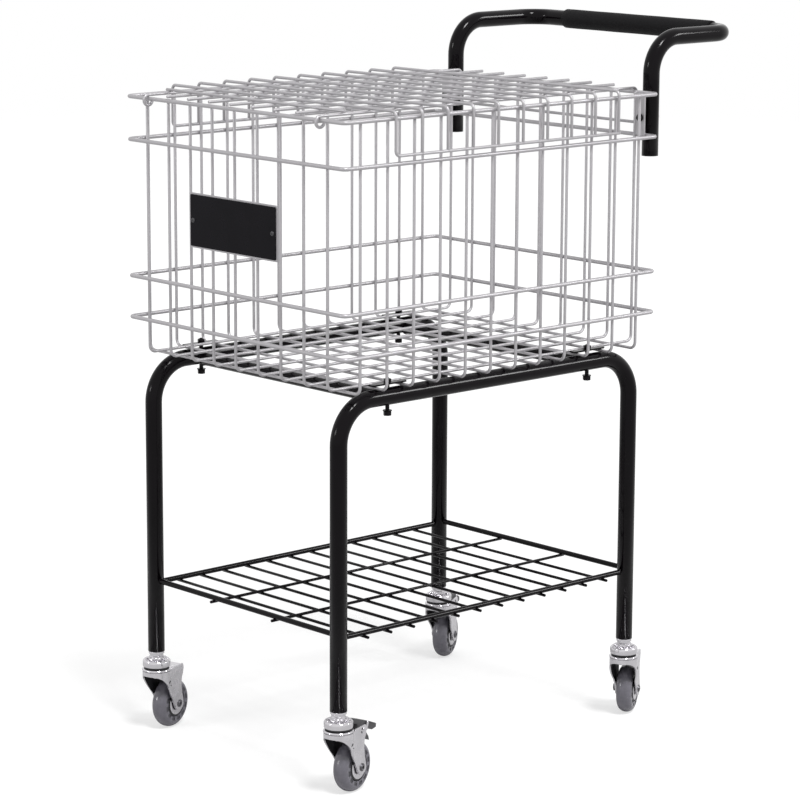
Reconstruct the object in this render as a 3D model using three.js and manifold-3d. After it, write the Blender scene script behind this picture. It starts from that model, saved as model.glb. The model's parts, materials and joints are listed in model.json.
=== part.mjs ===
import * as THREE from 'three';
import { mergeVertices } from 'three/addons/utils/BufferGeometryUtils.js';
import Module from 'manifold-3d';

// Wire ball cart: a wire basket with a hinged wire lid, carried on two bent tube legs with a
// wire shelf between them, pushed by a bent tube handle and rolling on four swivel casters.
// Millimetres, +Z up, +X toward the handle, +Y across. The model is laid out round the
// basket's middle on the floor, and at the end it is moved to the middle of its own box.

// Fits and welds
const SEAT_GAP = 0.3;
const WELD_SINK = 0.45;
const CUT_OVERRUN = 2;

// Tube frame
const TUBE_RADIUS = 12.5;
const TUBE_WALL = 1.2;
const LEG_END_INSET = 12.5;
const LEG_SIDE_INSET = 26.7;
const FOOT_CLEARANCE = 8.7;
const FRAME_HEIGHT = 569;
const LEG_BEND = 60;
const CROSS_TUBE_RADIUS = 10;
const CROSS_TUBE_INSET = 86;
const CROSS_TUBE_DROP = 2;

// Basket
const WIRE_RADIUS = 2.25;
const RING_RADIUS = 3;
const WIRE_PITCH = 50;
const CROSS_WIRE_COUNT = 12;
const LONG_WIRE_COUNT = 9;
const END_MARGIN = 28.5;
const SIDE_MARGIN = 35.7;
const FLOOR_BEND = 10;
const RING_CORNER = 20;
const RING_TIP = 0.6;
const BASKET_DEPTH = 382.1;
const SECOND_RING_DROP = 63;
const THIRD_RING_RISE = 117.1;
const FOURTH_RING_RISE = 55.5;

// Lid
const LID_LONG_MARGIN = 49.7;
const LID_LONG_WIRE_COUNT = 9;
const LID_CROSS_MARGIN = 88.7;
const LID_CROSS_WIRE_COUNT = 10;
const LID_LEFT_OVERHANG = 4.15;
const LID_RIGHT_OVERHANG = 7.65;
const LID_BEND = 7;
const SKIRT_GAP = 1.2;
const SKIRT_DROP = 51;
const BAIL_GAP = 1.8;
const BAIL_DROP = 46;
const HINGE_LOOP_RADIUS = 7.6;
const HINGE_LOOP_OFFSET = 0.65;
const STIFFENER_INSET = 39;
const STIFFENER_POKE = 6;

// Handle
const HANDLE_WIRE_OFFSET = 12.4;
const HANDLE_FOOT_DROP = 95;
const HANDLE_RISE = 80;
const HANDLE_REACH = 176;
const HANDLE_LOWER_BEND = 53;
const HANDLE_CORNER_BEND = 40;
const GRIP_WALL = 2.2;
const GRIP_START_INSET = 40.4;
const GRIP_END_INSET = 72.4;
const GRIP_EDGE = 1.5;
const HANDLE_PLATE_WIDTH = 18;
const HANDLE_PLATE_THICKNESS = 3;
const HANDLE_PLATE_GAP = 0.65;
const HANDLE_BOLT_DROP = 36.6;
const HANDLE_BOLT_RADIUS = 3;
const BOLT_HEAD_RADIUS = 5.9;
const BOLT_HEAD_HEIGHT = 4.6;
const CAP_NUT_RADIUS = 5.6;
const CAP_NUT_HEIGHT = 7;
const CAP_NUT_DEPTH = 4.5;

// Name plate, left bare
const NAME_PLATE_WIDTH = 195;
const NAME_PLATE_HEIGHT = 80;
const NAME_PLATE_DROP = 167;
const NAME_PLATE_THICKNESS = 1.2;
const NAME_PLATE_BORDER = 2.5;
const NAME_SCREW_HALF_SPAN = 88.5;
const NAME_SCREW_RADIUS = 1.6;
const NAME_SCREW_HEAD_RADIUS = 3.6;
const NAME_SCREW_HEAD_HEIGHT = 1.8;
const NAME_SCREW_NUT_RADIUS = 3.4;
const NAME_SCREW_NUT_HEIGHT = 2.4;

// Clamps that hold the basket down
const CLAMP_PITCHES = 4;
const CLAMP_BOLT_RADIUS = 3;
const CLAMP_HEAD_RADIUS = 6;
const CLAMP_HEAD_HEIGHT = 6.4;
const CLAMP_FLANGE_RADIUS = 6.8;
const CLAMP_FLANGE_HEIGHT = 1.6;
const CLAMP_BOLT_SLACK = 7;
const CLAMP_PLATE_LENGTH = 64;
const CLAMP_PLATE_WIDTH = 12.6;
const CLAMP_PLATE_THICKNESS = 2.5;
const CLAMP_NUT_RADIUS = 5.8;
const CLAMP_NUT_HEIGHT = 5;

// Shelf
const SHELF_HEIGHT = 233;
const SHELF_BORDER_RADIUS = 4;
const SHELF_ROD_RADIUS = 2.25;
const SHELF_ROD_COUNT = 12;
const SHELF_ROD_MARGIN = 49;
const SHELF_ROD_POKE = 8;
const SHELF_LONG_ROD_COUNT = 2;
const SHELF_LONG_POKE = 6;

// Casters, each in its own frame with the swivel axis at x = 0 and the wheel trailing to +X
const WHEEL_RADIUS = 37.5;
const WHEEL_TRAIL = 35;
const TYRE_WIDTH = 24;
const TYRE_DEPTH = 16.5;
const TYRE_TREAD_WIDTH = 10;
const TYRE_SHOULDER = 5;
const HUB_WIDTH = 29;
const HUB_BOSS_RADIUS = 9;
const GUARD_RADIUS = 18;
const GUARD_THICKNESS = 1;
const AXLE_RADIUS = 4;
const AXLE_CLEARANCE = 0.2;
const AXLE_HEAD_RADIUS = 6.2;
const AXLE_HEAD_HEIGHT = 3.5;
const AXLE_NUT_RADIUS = 6.6;
const AXLE_NUT_HEIGHT = 4.6;
const FORK_THICKNESS = 2.5;
const FORK_INNER_HALF_WIDTH = 15;
const FORK_FRONT_RADIUS = 21.5;
const FORK_TOP = 92;
const FORK_REAR = 47;
const FORK_FOOT_RADIUS = 11;
const FORK_ARCH_HEIGHT = 85;
const FORK_ARCH_CONTROL_X = 16;
const FORK_ARCH_CONTROL_Z = 80;
const FORK_EAR_HEIGHT = 7;
const FORK_EAR_START = 25;
const FORK_EAR_SLOPE = 4;
const FORK_SHOULDER_Z = 88;
const CROWN_THICKNESS = 3;
const RACE_RADIUS = 21.5;
const RACE_HEIGHT = 4;
const SEAL_RADIUS = 19;
const SEAL_HEIGHT = 3;
const CAP_RADIUS = 21;
const CAP_HEIGHT = 19;
const CAP_CHAMFER = 3;
const STEM_CLEARANCE = 0.35;
const STEM_PLUG_LENGTH = 38;
const KINGPIN_RADIUS = 5;
const KINGPIN_HEAD_RADIUS = 7;
const KINGPIN_HEAD_HEIGHT = 4.4;
const CASTER_SPOTS = [
  { name: 'left', x: -1, y: 1, swivel: 18, brake: false },
  { name: 'near', x: -1, y: -1, swivel: 16, brake: true },
  { name: 'right', x: 1, y: -1, swivel: 32, brake: false },
  { name: 'far', x: 1, y: 1, swivel: 28, brake: true },
];

// Brake pedal, in the caster's frame
const PEDAL_PIVOT_X = 40;
const PEDAL_PIVOT_Z = 93;
const PEDAL_PIN_RADIUS = 2;
const PEDAL_BOSS_RADIUS = 4.6;
const PEDAL_WIDTH = 18;
const PEDAL_START = 26;
const PEDAL_END = 88;
const PEDAL_TOP = 106;
const PEDAL_THICKNESS = 6;
const PEDAL_TIP_THICKNESS = 4;
const PEDAL_TIP_DROP = 4;
const SHOE_REST_GAP = 4.2;
const SHOE_START = 44;
const SHOE_END = 56;
const PEDAL_BAND_X = 60;
const PEDAL_BAND_LENGTH = 5;
const PEDAL_BAND_WALL = 1.5;

// Facets
const WIRE_SIDES = 4;
const RING_SIDES = 6;
const BORDER_SIDES = 6;
const TUBE_SIDES = 12;
const BORE_SIDES = 8;
const GRIP_SIDES = 16;
const CASTER_SIDES = 12;
const TYRE_SIDES = 16;
const HUB_SIDES = 8;
const BOLT_SIDES = 8;
const HEX_SIDES = 6;
const WIRE_BEND_STEPS = 2;
const RING_CORNER_STEPS = 2;
const TUBE_BEND_STEPS = 4;
const LOOP_STEPS = 8;
const CURVE_STEPS = 4;
const QUARTER_TURN = Math.PI / 2;
const HALF_CORNER = Math.PI / 4;
const LOOP_SWEEP = 1.5 * Math.PI;

// Heights and places that follow from the sizes above
const FLOOR_Z = FRAME_HEIGHT + TUBE_RADIUS + SEAT_GAP + WIRE_RADIUS;
const LONG_FLOOR_Z = FLOOR_Z + 2 * WIRE_RADIUS - WELD_SINK;
const WALL_BOTTOM = LONG_FLOOR_Z + FLOOR_BEND + 2 * SEAT_GAP;
const RIM_Z = FRAME_HEIGHT + TUBE_RADIUS + BASKET_DEPTH;
const LONG_WIRE_SPAN = (LONG_WIRE_COUNT - 1) / 2 * WIRE_PITCH;
const BASKET_HALF_LENGTH = (CROSS_WIRE_COUNT - 1) / 2 * WIRE_PITCH + END_MARGIN;
const BASKET_HALF_WIDTH = LONG_WIRE_SPAN + SIDE_MARGIN;
const RING_DROPS = [
  0, SECOND_RING_DROP, BASKET_DEPTH - THIRD_RING_RISE, BASKET_DEPTH - FOURTH_RING_RISE,
];
const RING_OUTSET = WIRE_RADIUS + RING_RADIUS - WELD_SINK;
const RING_HALF_LENGTH = BASKET_HALF_LENGTH + RING_OUTSET;
const RING_HALF_WIDTH = BASKET_HALF_WIDTH + RING_OUTSET;
const LEG_HALF_LENGTH = BASKET_HALF_LENGTH - LEG_END_INSET;
const LEG_HALF_WIDTH = BASKET_HALF_WIDTH - LEG_SIDE_INSET;
const CROSS_TUBE_X = LEG_HALF_LENGTH - CROSS_TUBE_INSET;
const CLAMP_X = CLAMP_PITCHES * WIRE_PITCH;
const LID_LONG_SPAN = RING_HALF_WIDTH - LID_LONG_MARGIN;
const LID_LONG_PITCH = 2 * LID_LONG_SPAN / (LID_LONG_WIRE_COUNT - 1);
const LID_CROSS_SPAN = RING_HALF_LENGTH - LID_CROSS_MARGIN;
const LID_CROSS_PITCH = 2 * LID_CROSS_SPAN / (LID_CROSS_WIRE_COUNT - 1);
const LID_Z = RIM_Z + RING_RADIUS + SEAT_GAP + WIRE_RADIUS;
const LID_CROSS_Z = LID_Z + 2 * WIRE_RADIUS + SEAT_GAP;
const LID_MIDDLE_Z = LID_CROSS_Z - 2 * WIRE_RADIUS + WELD_SINK;
const SKIRT_Y = RING_HALF_WIDTH + RING_RADIUS + SKIRT_GAP + WIRE_RADIUS;
const SKIRT_Z = RIM_Z - SKIRT_DROP;
const SKIRT_TOP = LID_CROSS_Z - LID_BEND - 2 * SEAT_GAP;
const SHELF_ROD_PITCH = 2 * (LEG_HALF_LENGTH - SHELF_ROD_MARGIN) / (SHELF_ROD_COUNT - 1);
const HANDLE_HALF_WIDTH = LONG_WIRE_SPAN + HANDLE_WIRE_OFFSET;
const GRIP_START = GRIP_START_INSET - HANDLE_HALF_WIDTH;
const GRIP_END = HANDLE_HALF_WIDTH - GRIP_END_INSET;
const HINGE_X = -RING_HALF_LENGTH - HINGE_LOOP_OFFSET;
const HINGE_Z = LID_Z - HINGE_LOOP_RADIUS;
const ARM_X = RING_HALF_LENGTH + RING_RADIUS + SEAT_GAP + TUBE_RADIUS;
const PLATE_OUTER_X = RING_HALF_LENGTH - RING_RADIUS - HANDLE_PLATE_GAP;
const HANDLE_BOLT_Z = RIM_Z - HANDLE_BOLT_DROP;
const BORE_RADIUS = TUBE_RADIUS - TUBE_WALL;
const CAP_BOTTOM = FORK_TOP + RACE_HEIGHT + SEAT_GAP + SEAL_HEIGHT;
const CAP_TOP = CAP_BOTTOM + CAP_HEIGHT;
const LEG_FOOT_HEIGHT = CAP_TOP + FOOT_CLEARANCE;

const STEEL = { metalness: 1, roughness: 0.2, color: 0xc9cbce };
const materials = {
  silverPaint: new THREE.MeshStandardMaterial({ color: 0xb9bab8, metalness: 0.3, roughness: 0.45 }),
  blackPaint: new THREE.MeshStandardMaterial({ color: 0x0d0d0f, metalness: 0.1, roughness: 0.25 }),
  chrome: new THREE.MeshStandardMaterial(STEEL),
  foam: new THREE.MeshStandardMaterial({ color: 0x111111, metalness: 0, roughness: 0.9 }),
  blackPlate: new THREE.MeshStandardMaterial({ color: 0x131316, metalness: 0, roughness: 0.4 }),
  tyre: new THREE.MeshStandardMaterial({ color: 0x77777c, metalness: 0, roughness: 0.4 }),
  pedal: new THREE.MeshStandardMaterial({ color: 0x3b3b3f, metalness: 0, roughness: 0.5 }),
};

const wasm = await Module();
wasm.setup();

function solidOf(geometry) {
  const bare = geometry.clone();
  bare.deleteAttribute('normal');
  bare.deleteAttribute('uv');
  const merged = mergeVertices(bare);
  return new wasm.Manifold(new wasm.Mesh({
    numProp: 3,
    vertProperties: Float32Array.from(merged.attributes.position.array),
    triVerts: Uint32Array.from(merged.index.array),
  }));
}

function geometryOf(solid) {
  const mesh = solid.getMesh();
  const geometry = new THREE.BufferGeometry();
  geometry.setAttribute('position', new THREE.BufferAttribute(mesh.vertProperties, mesh.numProp));
  geometry.setIndex(new THREE.BufferAttribute(mesh.triVerts, 1));
  geometry.computeVertexNormals();
  return geometry;
}

function join(geometries) {
  return geometryOf(wasm.Manifold.union(geometries.map(solidOf)));
}

function cut(geometry, tools) {
  return geometryOf(solidOf(geometry).subtract(wasm.Manifold.union(tools.map(solidOf))));
}

// A rod bent from straight runs and arcs, kept as the corners of its own facets.
class BentRod extends THREE.Curve {
  constructor(corners) {
    super();
    this.corners = corners;
  }

  getPointAt(share, target = new THREE.Vector3()) {
    const last = this.corners.length - 1;
    return target.copy(this.corners[Math.round(share * last)]);
  }

  getTangentAt(share, target = new THREE.Vector3()) {
    const last = this.corners.length - 1;
    const index = Math.round(share * last);
    const here = this.corners[index];
    const before = new THREE.Vector3();
    const after = new THREE.Vector3();
    if (index > 0) {
      before.subVectors(here, this.corners[index - 1]).normalize();
    }
    if (index < last) {
      after.subVectors(this.corners[index + 1], here).normalize();
    }
    return target.addVectors(before, after).normalize();
  }
}

// Rounds the inner corners of a route; each corner is { at, bend } and a bend of 0 stays sharp.
function roundedRoute(route, steps) {
  const points = [];
  route.forEach(({ at, bend }, index) => {
    if (!bend || index === 0 || index === route.length - 1) {
      points.push(at.clone());
      return;
    }
    const inward = new THREE.Vector3().subVectors(at, route[index - 1].at).normalize();
    const outward = new THREE.Vector3().subVectors(route[index + 1].at, at).normalize();
    const turn = inward.angleTo(outward);
    const reach = bend * Math.tan(turn / 2);
    const start = at.clone().addScaledVector(inward, -reach);
    const end = at.clone().addScaledVector(outward, reach);
    const toCentre = new THREE.Vector3().subVectors(outward, inward).normalize();
    const centre = at.clone().addScaledVector(toCentre, bend / Math.cos(turn / 2));
    const first = start.sub(centre);
    const second = end.sub(centre);
    for (let step = 0; step <= steps; step += 1) {
      const angle = turn * step / steps;
      const firstShare = Math.sin(turn - angle) / Math.sin(turn);
      const secondShare = Math.sin(angle) / Math.sin(turn);
      points.push(centre.clone()
        .addScaledVector(first, firstShare)
        .addScaledVector(second, secondShare));
    }
  });
  return points;
}

function polygon(radius, sides, phase) {
  return Array.from({ length: sides }, (_, side) => {
    const angle = phase + 2 * Math.PI * side / sides;
    return new THREE.Vector2(radius * Math.cos(angle), radius * Math.sin(angle));
  });
}

// A solid or hollow rod along a route. Phase turns the facets round the route.
function rod(points, radius, sides, phase = 0, boreRadius = 0) {
  const section = new THREE.Shape(polygon(radius, sides, phase));
  if (boreRadius) {
    section.holes.push(new THREE.Path(polygon(boreRadius, BORE_SIDES, phase)));
  }
  return new THREE.ExtrudeGeometry(section, {
    steps: points.length - 1,
    extrudePath: new BentRod(points),
    bevelEnabled: false,
  });
}

function vector(x, y, z) {
  return new THREE.Vector3(x, y, z);
}

function straight(from, to, radius, sides, phase) {
  return rod([from, to], radius, sides, phase);
}

// A solid of revolution about Z; the profile is [radius, height] pairs on a closed outline.
function turned(profile, sides, halfStep = false) {
  const points = profile.map(([radius, height]) => new THREE.Vector2(radius, height));
  const start = halfStep ? Math.PI / sides : 0;
  const geometry = new THREE.LatheGeometry(points, sides, start);
  geometry.deleteAttribute('normal');
  geometry.deleteAttribute('uv');
  return withoutFlatFaces(mergeVertices(geometry));
}

// A revolved profile leaves faces of no area where it meets the axis; they are dropped.
function withoutFlatFaces(geometry) {
  const index = [];
  const source = geometry.index.array;
  for (let face = 0; face < source.length; face += 3) {
    const [a, b, c] = [source[face], source[face + 1], source[face + 2]];
    if (a !== b && b !== c && c !== a) {
      index.push(a, b, c);
    }
  }
  geometry.setIndex(index);
  return geometry;
}

function alongZ(geometry) {
  return geometry.rotateX(QUARTER_TURN);
}

function alongX(geometry) {
  return geometry.rotateZ(-QUARTER_TURN);
}

// A hole whose flats stand clear of a round pin.
function holeRadius(pinRadius, clearance, sides) {
  return (pinRadius + clearance) / Math.cos(Math.PI / sides);
}

function cylinder(radius, length, sides) {
  return new THREE.CylinderGeometry(radius, radius, length, sides);
}

// Basket

function evenly(count, pitch) {
  return Array.from({ length: count }, (_, index) => (index - (count - 1) / 2) * pitch);
}

function rounded(points, bend) {
  return points.map((at) => ({ at, bend }));
}

// The floor's wires turn up at both ends, where the walls' wires carry on.
function floorWire(corners, phase) {
  const points = roundedRoute(rounded(corners, FLOOR_BEND), WIRE_BEND_STEPS);
  return rod(points, WIRE_RADIUS, WIRE_SIDES, phase);
}

function basketFloorGeometry() {
  const top = WALL_BOTTOM - SEAT_GAP;
  const crossWires = evenly(CROSS_WIRE_COUNT, WIRE_PITCH).map((x) => floorWire([
    vector(x, -BASKET_HALF_WIDTH, top),
    vector(x, -BASKET_HALF_WIDTH, FLOOR_Z),
    vector(x, BASKET_HALF_WIDTH, FLOOR_Z),
    vector(x, BASKET_HALF_WIDTH, top),
  ], 0));
  const longWires = evenly(LONG_WIRE_COUNT, WIRE_PITCH).map((y) => floorWire([
    vector(-BASKET_HALF_LENGTH, y, top),
    vector(-BASKET_HALF_LENGTH, y, LONG_FLOOR_Z),
    vector(BASKET_HALF_LENGTH, y, LONG_FLOOR_Z),
    vector(BASKET_HALF_LENGTH, y, top),
  ], QUARTER_TURN));
  return join([...crossWires, ...longWires]);
}

// One wall's share of a ring: [along the wall, out from the middle] pairs, with half of each
// rounded corner and a short straight tip, so that two walls meet squarely in the corner.
function ringShare(halfRun, out) {
  const sweep = HALF_CORNER - (RING_TIP + SEAT_GAP / 2) / RING_CORNER;
  const end = [];
  for (let step = 0; step <= RING_CORNER_STEPS; step += 1) {
    const angle = sweep * step / RING_CORNER_STEPS;
    end.push([
      halfRun - RING_CORNER + RING_CORNER * Math.sin(angle),
      out - RING_CORNER + RING_CORNER * Math.cos(angle),
    ]);
  }
  const [along, outward] = end[end.length - 1];
  const tip = RING_TIP * Math.SQRT1_2;
  end.push([along + tip, outward - tip]);
  const start = end.map(([run, depth]) => [-run, depth]).reverse();
  return [...start, ...end];
}

function wallGeometry(wires, share, place) {
  const uprights = wires.map(([along, out]) => (
    straight(place(along, out, WALL_BOTTOM), place(along, out, RIM_Z), WIRE_RADIUS, WIRE_SIDES)
  ));
  const rings = RING_DROPS.map((drop) => rod(
    share.map(([along, out]) => place(along, out, RIM_Z - drop)),
    RING_RADIUS,
    RING_SIDES,
    QUARTER_TURN,
  ));
  return join([...uprights, ...rings]);
}

function sideWallGeometry(side) {
  const wires = evenly(CROSS_WIRE_COUNT, WIRE_PITCH).map((x) => [x, BASKET_HALF_WIDTH]);
  const share = ringShare(RING_HALF_LENGTH, RING_HALF_WIDTH);
  return wallGeometry(wires, share, (along, out, z) => vector(along, side * out, z));
}

function endWallGeometry(side) {
  const wires = evenly(LONG_WIRE_COUNT, WIRE_PITCH).map((y) => [y, BASKET_HALF_LENGTH]);
  const share = ringShare(RING_HALF_WIDTH, RING_HALF_LENGTH);
  return wallGeometry(wires, share, (along, out, z) => vector(side * out, along, z));
}

// Lid

function hingeLoop(y, outward) {
  const points = [];
  for (let step = 0; step < LOOP_STEPS; step += 1) {
    const angle = QUARTER_TURN + LOOP_SWEEP * (LOOP_STEPS - step) / LOOP_STEPS;
    points.push(vector(
      HINGE_X + HINGE_LOOP_RADIUS * Math.cos(angle),
      y,
      HINGE_Z + HINGE_LOOP_RADIUS * Math.sin(angle),
    ));
  }
  return outward ? points.reverse() : points;
}

function bailGeometry() {
  const y = LID_LONG_SPAN;
  const bailX = RING_HALF_LENGTH + RING_RADIUS + BAIL_GAP + WIRE_RADIUS;
  const bailZ = RIM_Z - BAIL_DROP;
  const route = [
    vector(HINGE_X, -y, LID_Z),
    vector(bailX, -y, LID_Z),
    vector(bailX, -y, bailZ),
    vector(bailX, y, bailZ),
    vector(bailX, y, LID_Z),
    vector(HINGE_X, y, LID_Z),
  ];
  const middle = roundedRoute(rounded(route, LID_BEND), WIRE_BEND_STEPS);
  const points = [...hingeLoop(-y, false), ...middle, ...hingeLoop(y, true)];
  return rod(points, WIRE_RADIUS, WIRE_SIDES, QUARTER_TURN);
}

function lidTopGeometry() {
  const longWires = evenly(LID_LONG_WIRE_COUNT, LID_LONG_PITCH).slice(1, -1).map((y) => straight(
    vector(-RING_HALF_LENGTH - LID_LEFT_OVERHANG, y, LID_MIDDLE_Z),
    vector(RING_HALF_LENGTH + LID_RIGHT_OVERHANG, y, LID_MIDDLE_Z),
    WIRE_RADIUS,
    WIRE_SIDES,
  ));
  const crossWires = evenly(LID_CROSS_WIRE_COUNT, LID_CROSS_PITCH).map((x) => {
    const corners = [
      vector(x, -SKIRT_Y, SKIRT_TOP + SEAT_GAP),
      vector(x, -SKIRT_Y, LID_CROSS_Z),
      vector(x, SKIRT_Y, LID_CROSS_Z),
      vector(x, SKIRT_Y, SKIRT_TOP + SEAT_GAP),
    ];
    const points = roundedRoute(rounded(corners, LID_BEND), WIRE_BEND_STEPS);
    return rod(points, WIRE_RADIUS, WIRE_SIDES);
  });
  const stiffenerX = -RING_HALF_LENGTH + STIFFENER_INSET;
  const stiffenerY = LID_LONG_SPAN + STIFFENER_POKE;
  const stiffener = straight(
    vector(stiffenerX, -stiffenerY, LID_CROSS_Z),
    vector(stiffenerX, stiffenerY, LID_CROSS_Z),
    WIRE_RADIUS,
    WIRE_SIDES,
  );
  return join([...longWires, ...crossWires, stiffener]);
}

// The first cross wire runs on as the skirt's rod, and the others end on it.
function skirtGeometry(side) {
  const y = side * SKIRT_Y;
  const crossings = evenly(LID_CROSS_WIRE_COUNT, LID_CROSS_PITCH);
  const route = [
    vector(crossings[0], y, SKIRT_TOP),
    vector(crossings[0], y, SKIRT_Z),
    vector(LID_CROSS_SPAN + WIRE_RADIUS, y, SKIRT_Z),
  ];
  const wire = rod(
    roundedRoute(rounded(route, LID_BEND), WIRE_BEND_STEPS),
    WIRE_RADIUS,
    WIRE_SIDES,
  );
  const uprights = crossings.slice(1).map((x) => (
    straight(vector(x, y, SKIRT_Z), vector(x, y, SKIRT_TOP), WIRE_RADIUS, WIRE_SIDES)
  ));
  return join([wire, ...uprights]);
}

// Handle

function handleGeometry() {
  const footZ = RIM_Z - HANDLE_FOOT_DROP;
  const topZ = RIM_Z + HANDLE_RISE;
  const barX = ARM_X + HANDLE_REACH;
  const half = HANDLE_HALF_WIDTH;
  const route = [
    { at: vector(ARM_X, -half, footZ), bend: 0 },
    { at: vector(ARM_X, -half, topZ), bend: HANDLE_LOWER_BEND },
    { at: vector(barX, -half, topZ), bend: HANDLE_CORNER_BEND },
    { at: vector(barX, half, topZ), bend: HANDLE_CORNER_BEND },
    { at: vector(ARM_X, half, topZ), bend: HANDLE_LOWER_BEND },
    { at: vector(ARM_X, half, footZ), bend: 0 },
  ];
  const points = roundedRoute(route, TUBE_BEND_STEPS);
  const tube = rod(points, TUBE_RADIUS, TUBE_SIDES, 0, BORE_RADIUS);
  const boltHole = holeRadius(HANDLE_BOLT_RADIUS, SEAT_GAP, BOLT_SIDES);
  const holes = [-half, half].map((y) => (
    alongX(cylinder(boltHole, 2 * TUBE_RADIUS + CUT_OVERRUN, BOLT_SIDES))
      .translate(ARM_X, y, HANDLE_BOLT_Z)
  ));
  return cut(tube, holes);
}

function gripGeometry() {
  const inner = holeRadius(TUBE_RADIUS, SEAT_GAP, GRIP_SIDES);
  const outer = inner + GRIP_WALL;
  return turned([
    [inner, GRIP_START],
    [outer - GRIP_EDGE, GRIP_START],
    [outer, GRIP_START + GRIP_EDGE],
    [outer, GRIP_END - GRIP_EDGE],
    [outer - GRIP_EDGE, GRIP_END],
    [inner, GRIP_END],
    [inner, GRIP_START],
  ], GRIP_SIDES);
}

function handlePlateGeometry(side) {
  const upper = RIM_Z;
  const lower = RIM_Z - SECOND_RING_DROP;
  const inner = side * (LONG_WIRE_SPAN + WIRE_RADIUS + SEAT_GAP);
  const outer = inner + side * HANDLE_PLATE_WIDTH;
  const outline = new THREE.Shape([
    new THREE.Vector2(inner, lower),
    new THREE.Vector2(outer, lower),
    new THREE.Vector2(outer, upper),
    new THREE.Vector2(inner, upper),
  ]);
  const hole = holeRadius(HANDLE_BOLT_RADIUS, SEAT_GAP, BOLT_SIDES);
  const ring = polygon(hole, BOLT_SIDES, 0);
  const centre = new THREE.Vector2(side * HANDLE_HALF_WIDTH, HANDLE_BOLT_Z);
  outline.holes.push(new THREE.Path(ring.map((point) => point.add(centre))));
  const plate = uprightPlate(outline, HANDLE_PLATE_THICKNESS);
  return plate.translate(PLATE_OUTER_X - HANDLE_PLATE_THICKNESS, 0, 0);
}

// Stands an outline drawn as (y, z) up across the X axis, from x = 0 to its thickness.
function uprightPlate(outline, thickness) {
  const plate = new THREE.ExtrudeGeometry(outline, {
    depth: thickness,
    bevelEnabled: false,
    curveSegments: CURVE_STEPS,
  });
  return plate.rotateX(QUARTER_TURN).rotateZ(QUARTER_TURN);
}

function handleBoltGeometry() {
  const plateInner = PLATE_OUTER_X - HANDLE_PLATE_THICKNESS;
  const headStart = plateInner - SEAT_GAP - BOLT_HEAD_HEIGHT;
  const headEnd = plateInner - SEAT_GAP;
  const tip = ARM_X + TUBE_RADIUS + SEAT_GAP + CAP_NUT_DEPTH - SEAT_GAP;
  return alongX(turned([
    [0, headStart],
    [BOLT_HEAD_RADIUS / 2, headStart],
    [BOLT_HEAD_RADIUS, headStart + BOLT_HEAD_HEIGHT / 2],
    [BOLT_HEAD_RADIUS, headEnd],
    [HANDLE_BOLT_RADIUS, headEnd],
    [HANDLE_BOLT_RADIUS, tip],
    [0, tip],
  ], BOLT_SIDES));
}

function capNutGeometry() {
  const hole = holeRadius(HANDLE_BOLT_RADIUS, SEAT_GAP, BOLT_SIDES);
  const seat = ARM_X + TUBE_RADIUS + SEAT_GAP;
  return alongX(turned([
    [0, seat + CAP_NUT_DEPTH],
    [hole, seat + CAP_NUT_DEPTH],
    [hole, seat],
    [CAP_NUT_RADIUS, seat],
    [CAP_NUT_RADIUS, seat + CAP_NUT_DEPTH],
    [CAP_NUT_RADIUS / 2, seat + CAP_NUT_HEIGHT],
    [0, seat + CAP_NUT_HEIGHT],
  ], BOLT_SIDES));
}

// Name plate

function namePlateSheet(border, layer, holeSpots) {
  const width = NAME_PLATE_WIDTH - 2 * border;
  const height = NAME_PLATE_HEIGHT - 2 * border;
  const outline = new THREE.Shape([
    new THREE.Vector2(-width / 2, -height / 2),
    new THREE.Vector2(width / 2, -height / 2),
    new THREE.Vector2(width / 2, height / 2),
    new THREE.Vector2(-width / 2, height / 2),
  ]);
  const hole = holeRadius(NAME_SCREW_RADIUS, SEAT_GAP, BOLT_SIDES);
  for (const y of holeSpots) {
    const centre = new THREE.Vector2(y, 0);
    const ring = polygon(hole, BOLT_SIDES, 0).map((point) => point.add(centre));
    outline.holes.push(new THREE.Path(ring));
  }
  const face = -BASKET_HALF_LENGTH - WIRE_RADIUS - layer * (NAME_PLATE_THICKNESS + SEAT_GAP);
  return uprightPlate(outline, NAME_PLATE_THICKNESS).translate(face, 0, 0);
}

function nameScrewGeometry(y) {
  const backX = -BASKET_HALF_LENGTH - WIRE_RADIUS;
  const frontX = backX - 2 * (NAME_PLATE_THICKNESS + SEAT_GAP);
  return alongX(turned([
    [0, frontX - NAME_SCREW_HEAD_HEIGHT],
    [NAME_SCREW_HEAD_RADIUS, frontX - NAME_SCREW_HEAD_HEIGHT / 2],
    [NAME_SCREW_HEAD_RADIUS, frontX + WELD_SINK],
    [NAME_SCREW_RADIUS, frontX + WELD_SINK],
    [NAME_SCREW_RADIUS, backX],
    [NAME_SCREW_NUT_RADIUS, backX],
    [NAME_SCREW_NUT_RADIUS, backX + NAME_SCREW_NUT_HEIGHT],
    [0, backX + NAME_SCREW_NUT_HEIGHT],
  ], BOLT_SIDES)).translate(0, y, 0);
}

// The black plate and its two screws, tightened on the backing.
function namePlateGeometry() {
  return join([
    namePlateSheet(NAME_PLATE_BORDER, 2, []),
    nameScrewGeometry(-NAME_SCREW_HALF_SPAN),
    nameScrewGeometry(NAME_SCREW_HALF_SPAN),
  ]);
}

// Tube frame and clamps

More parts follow.
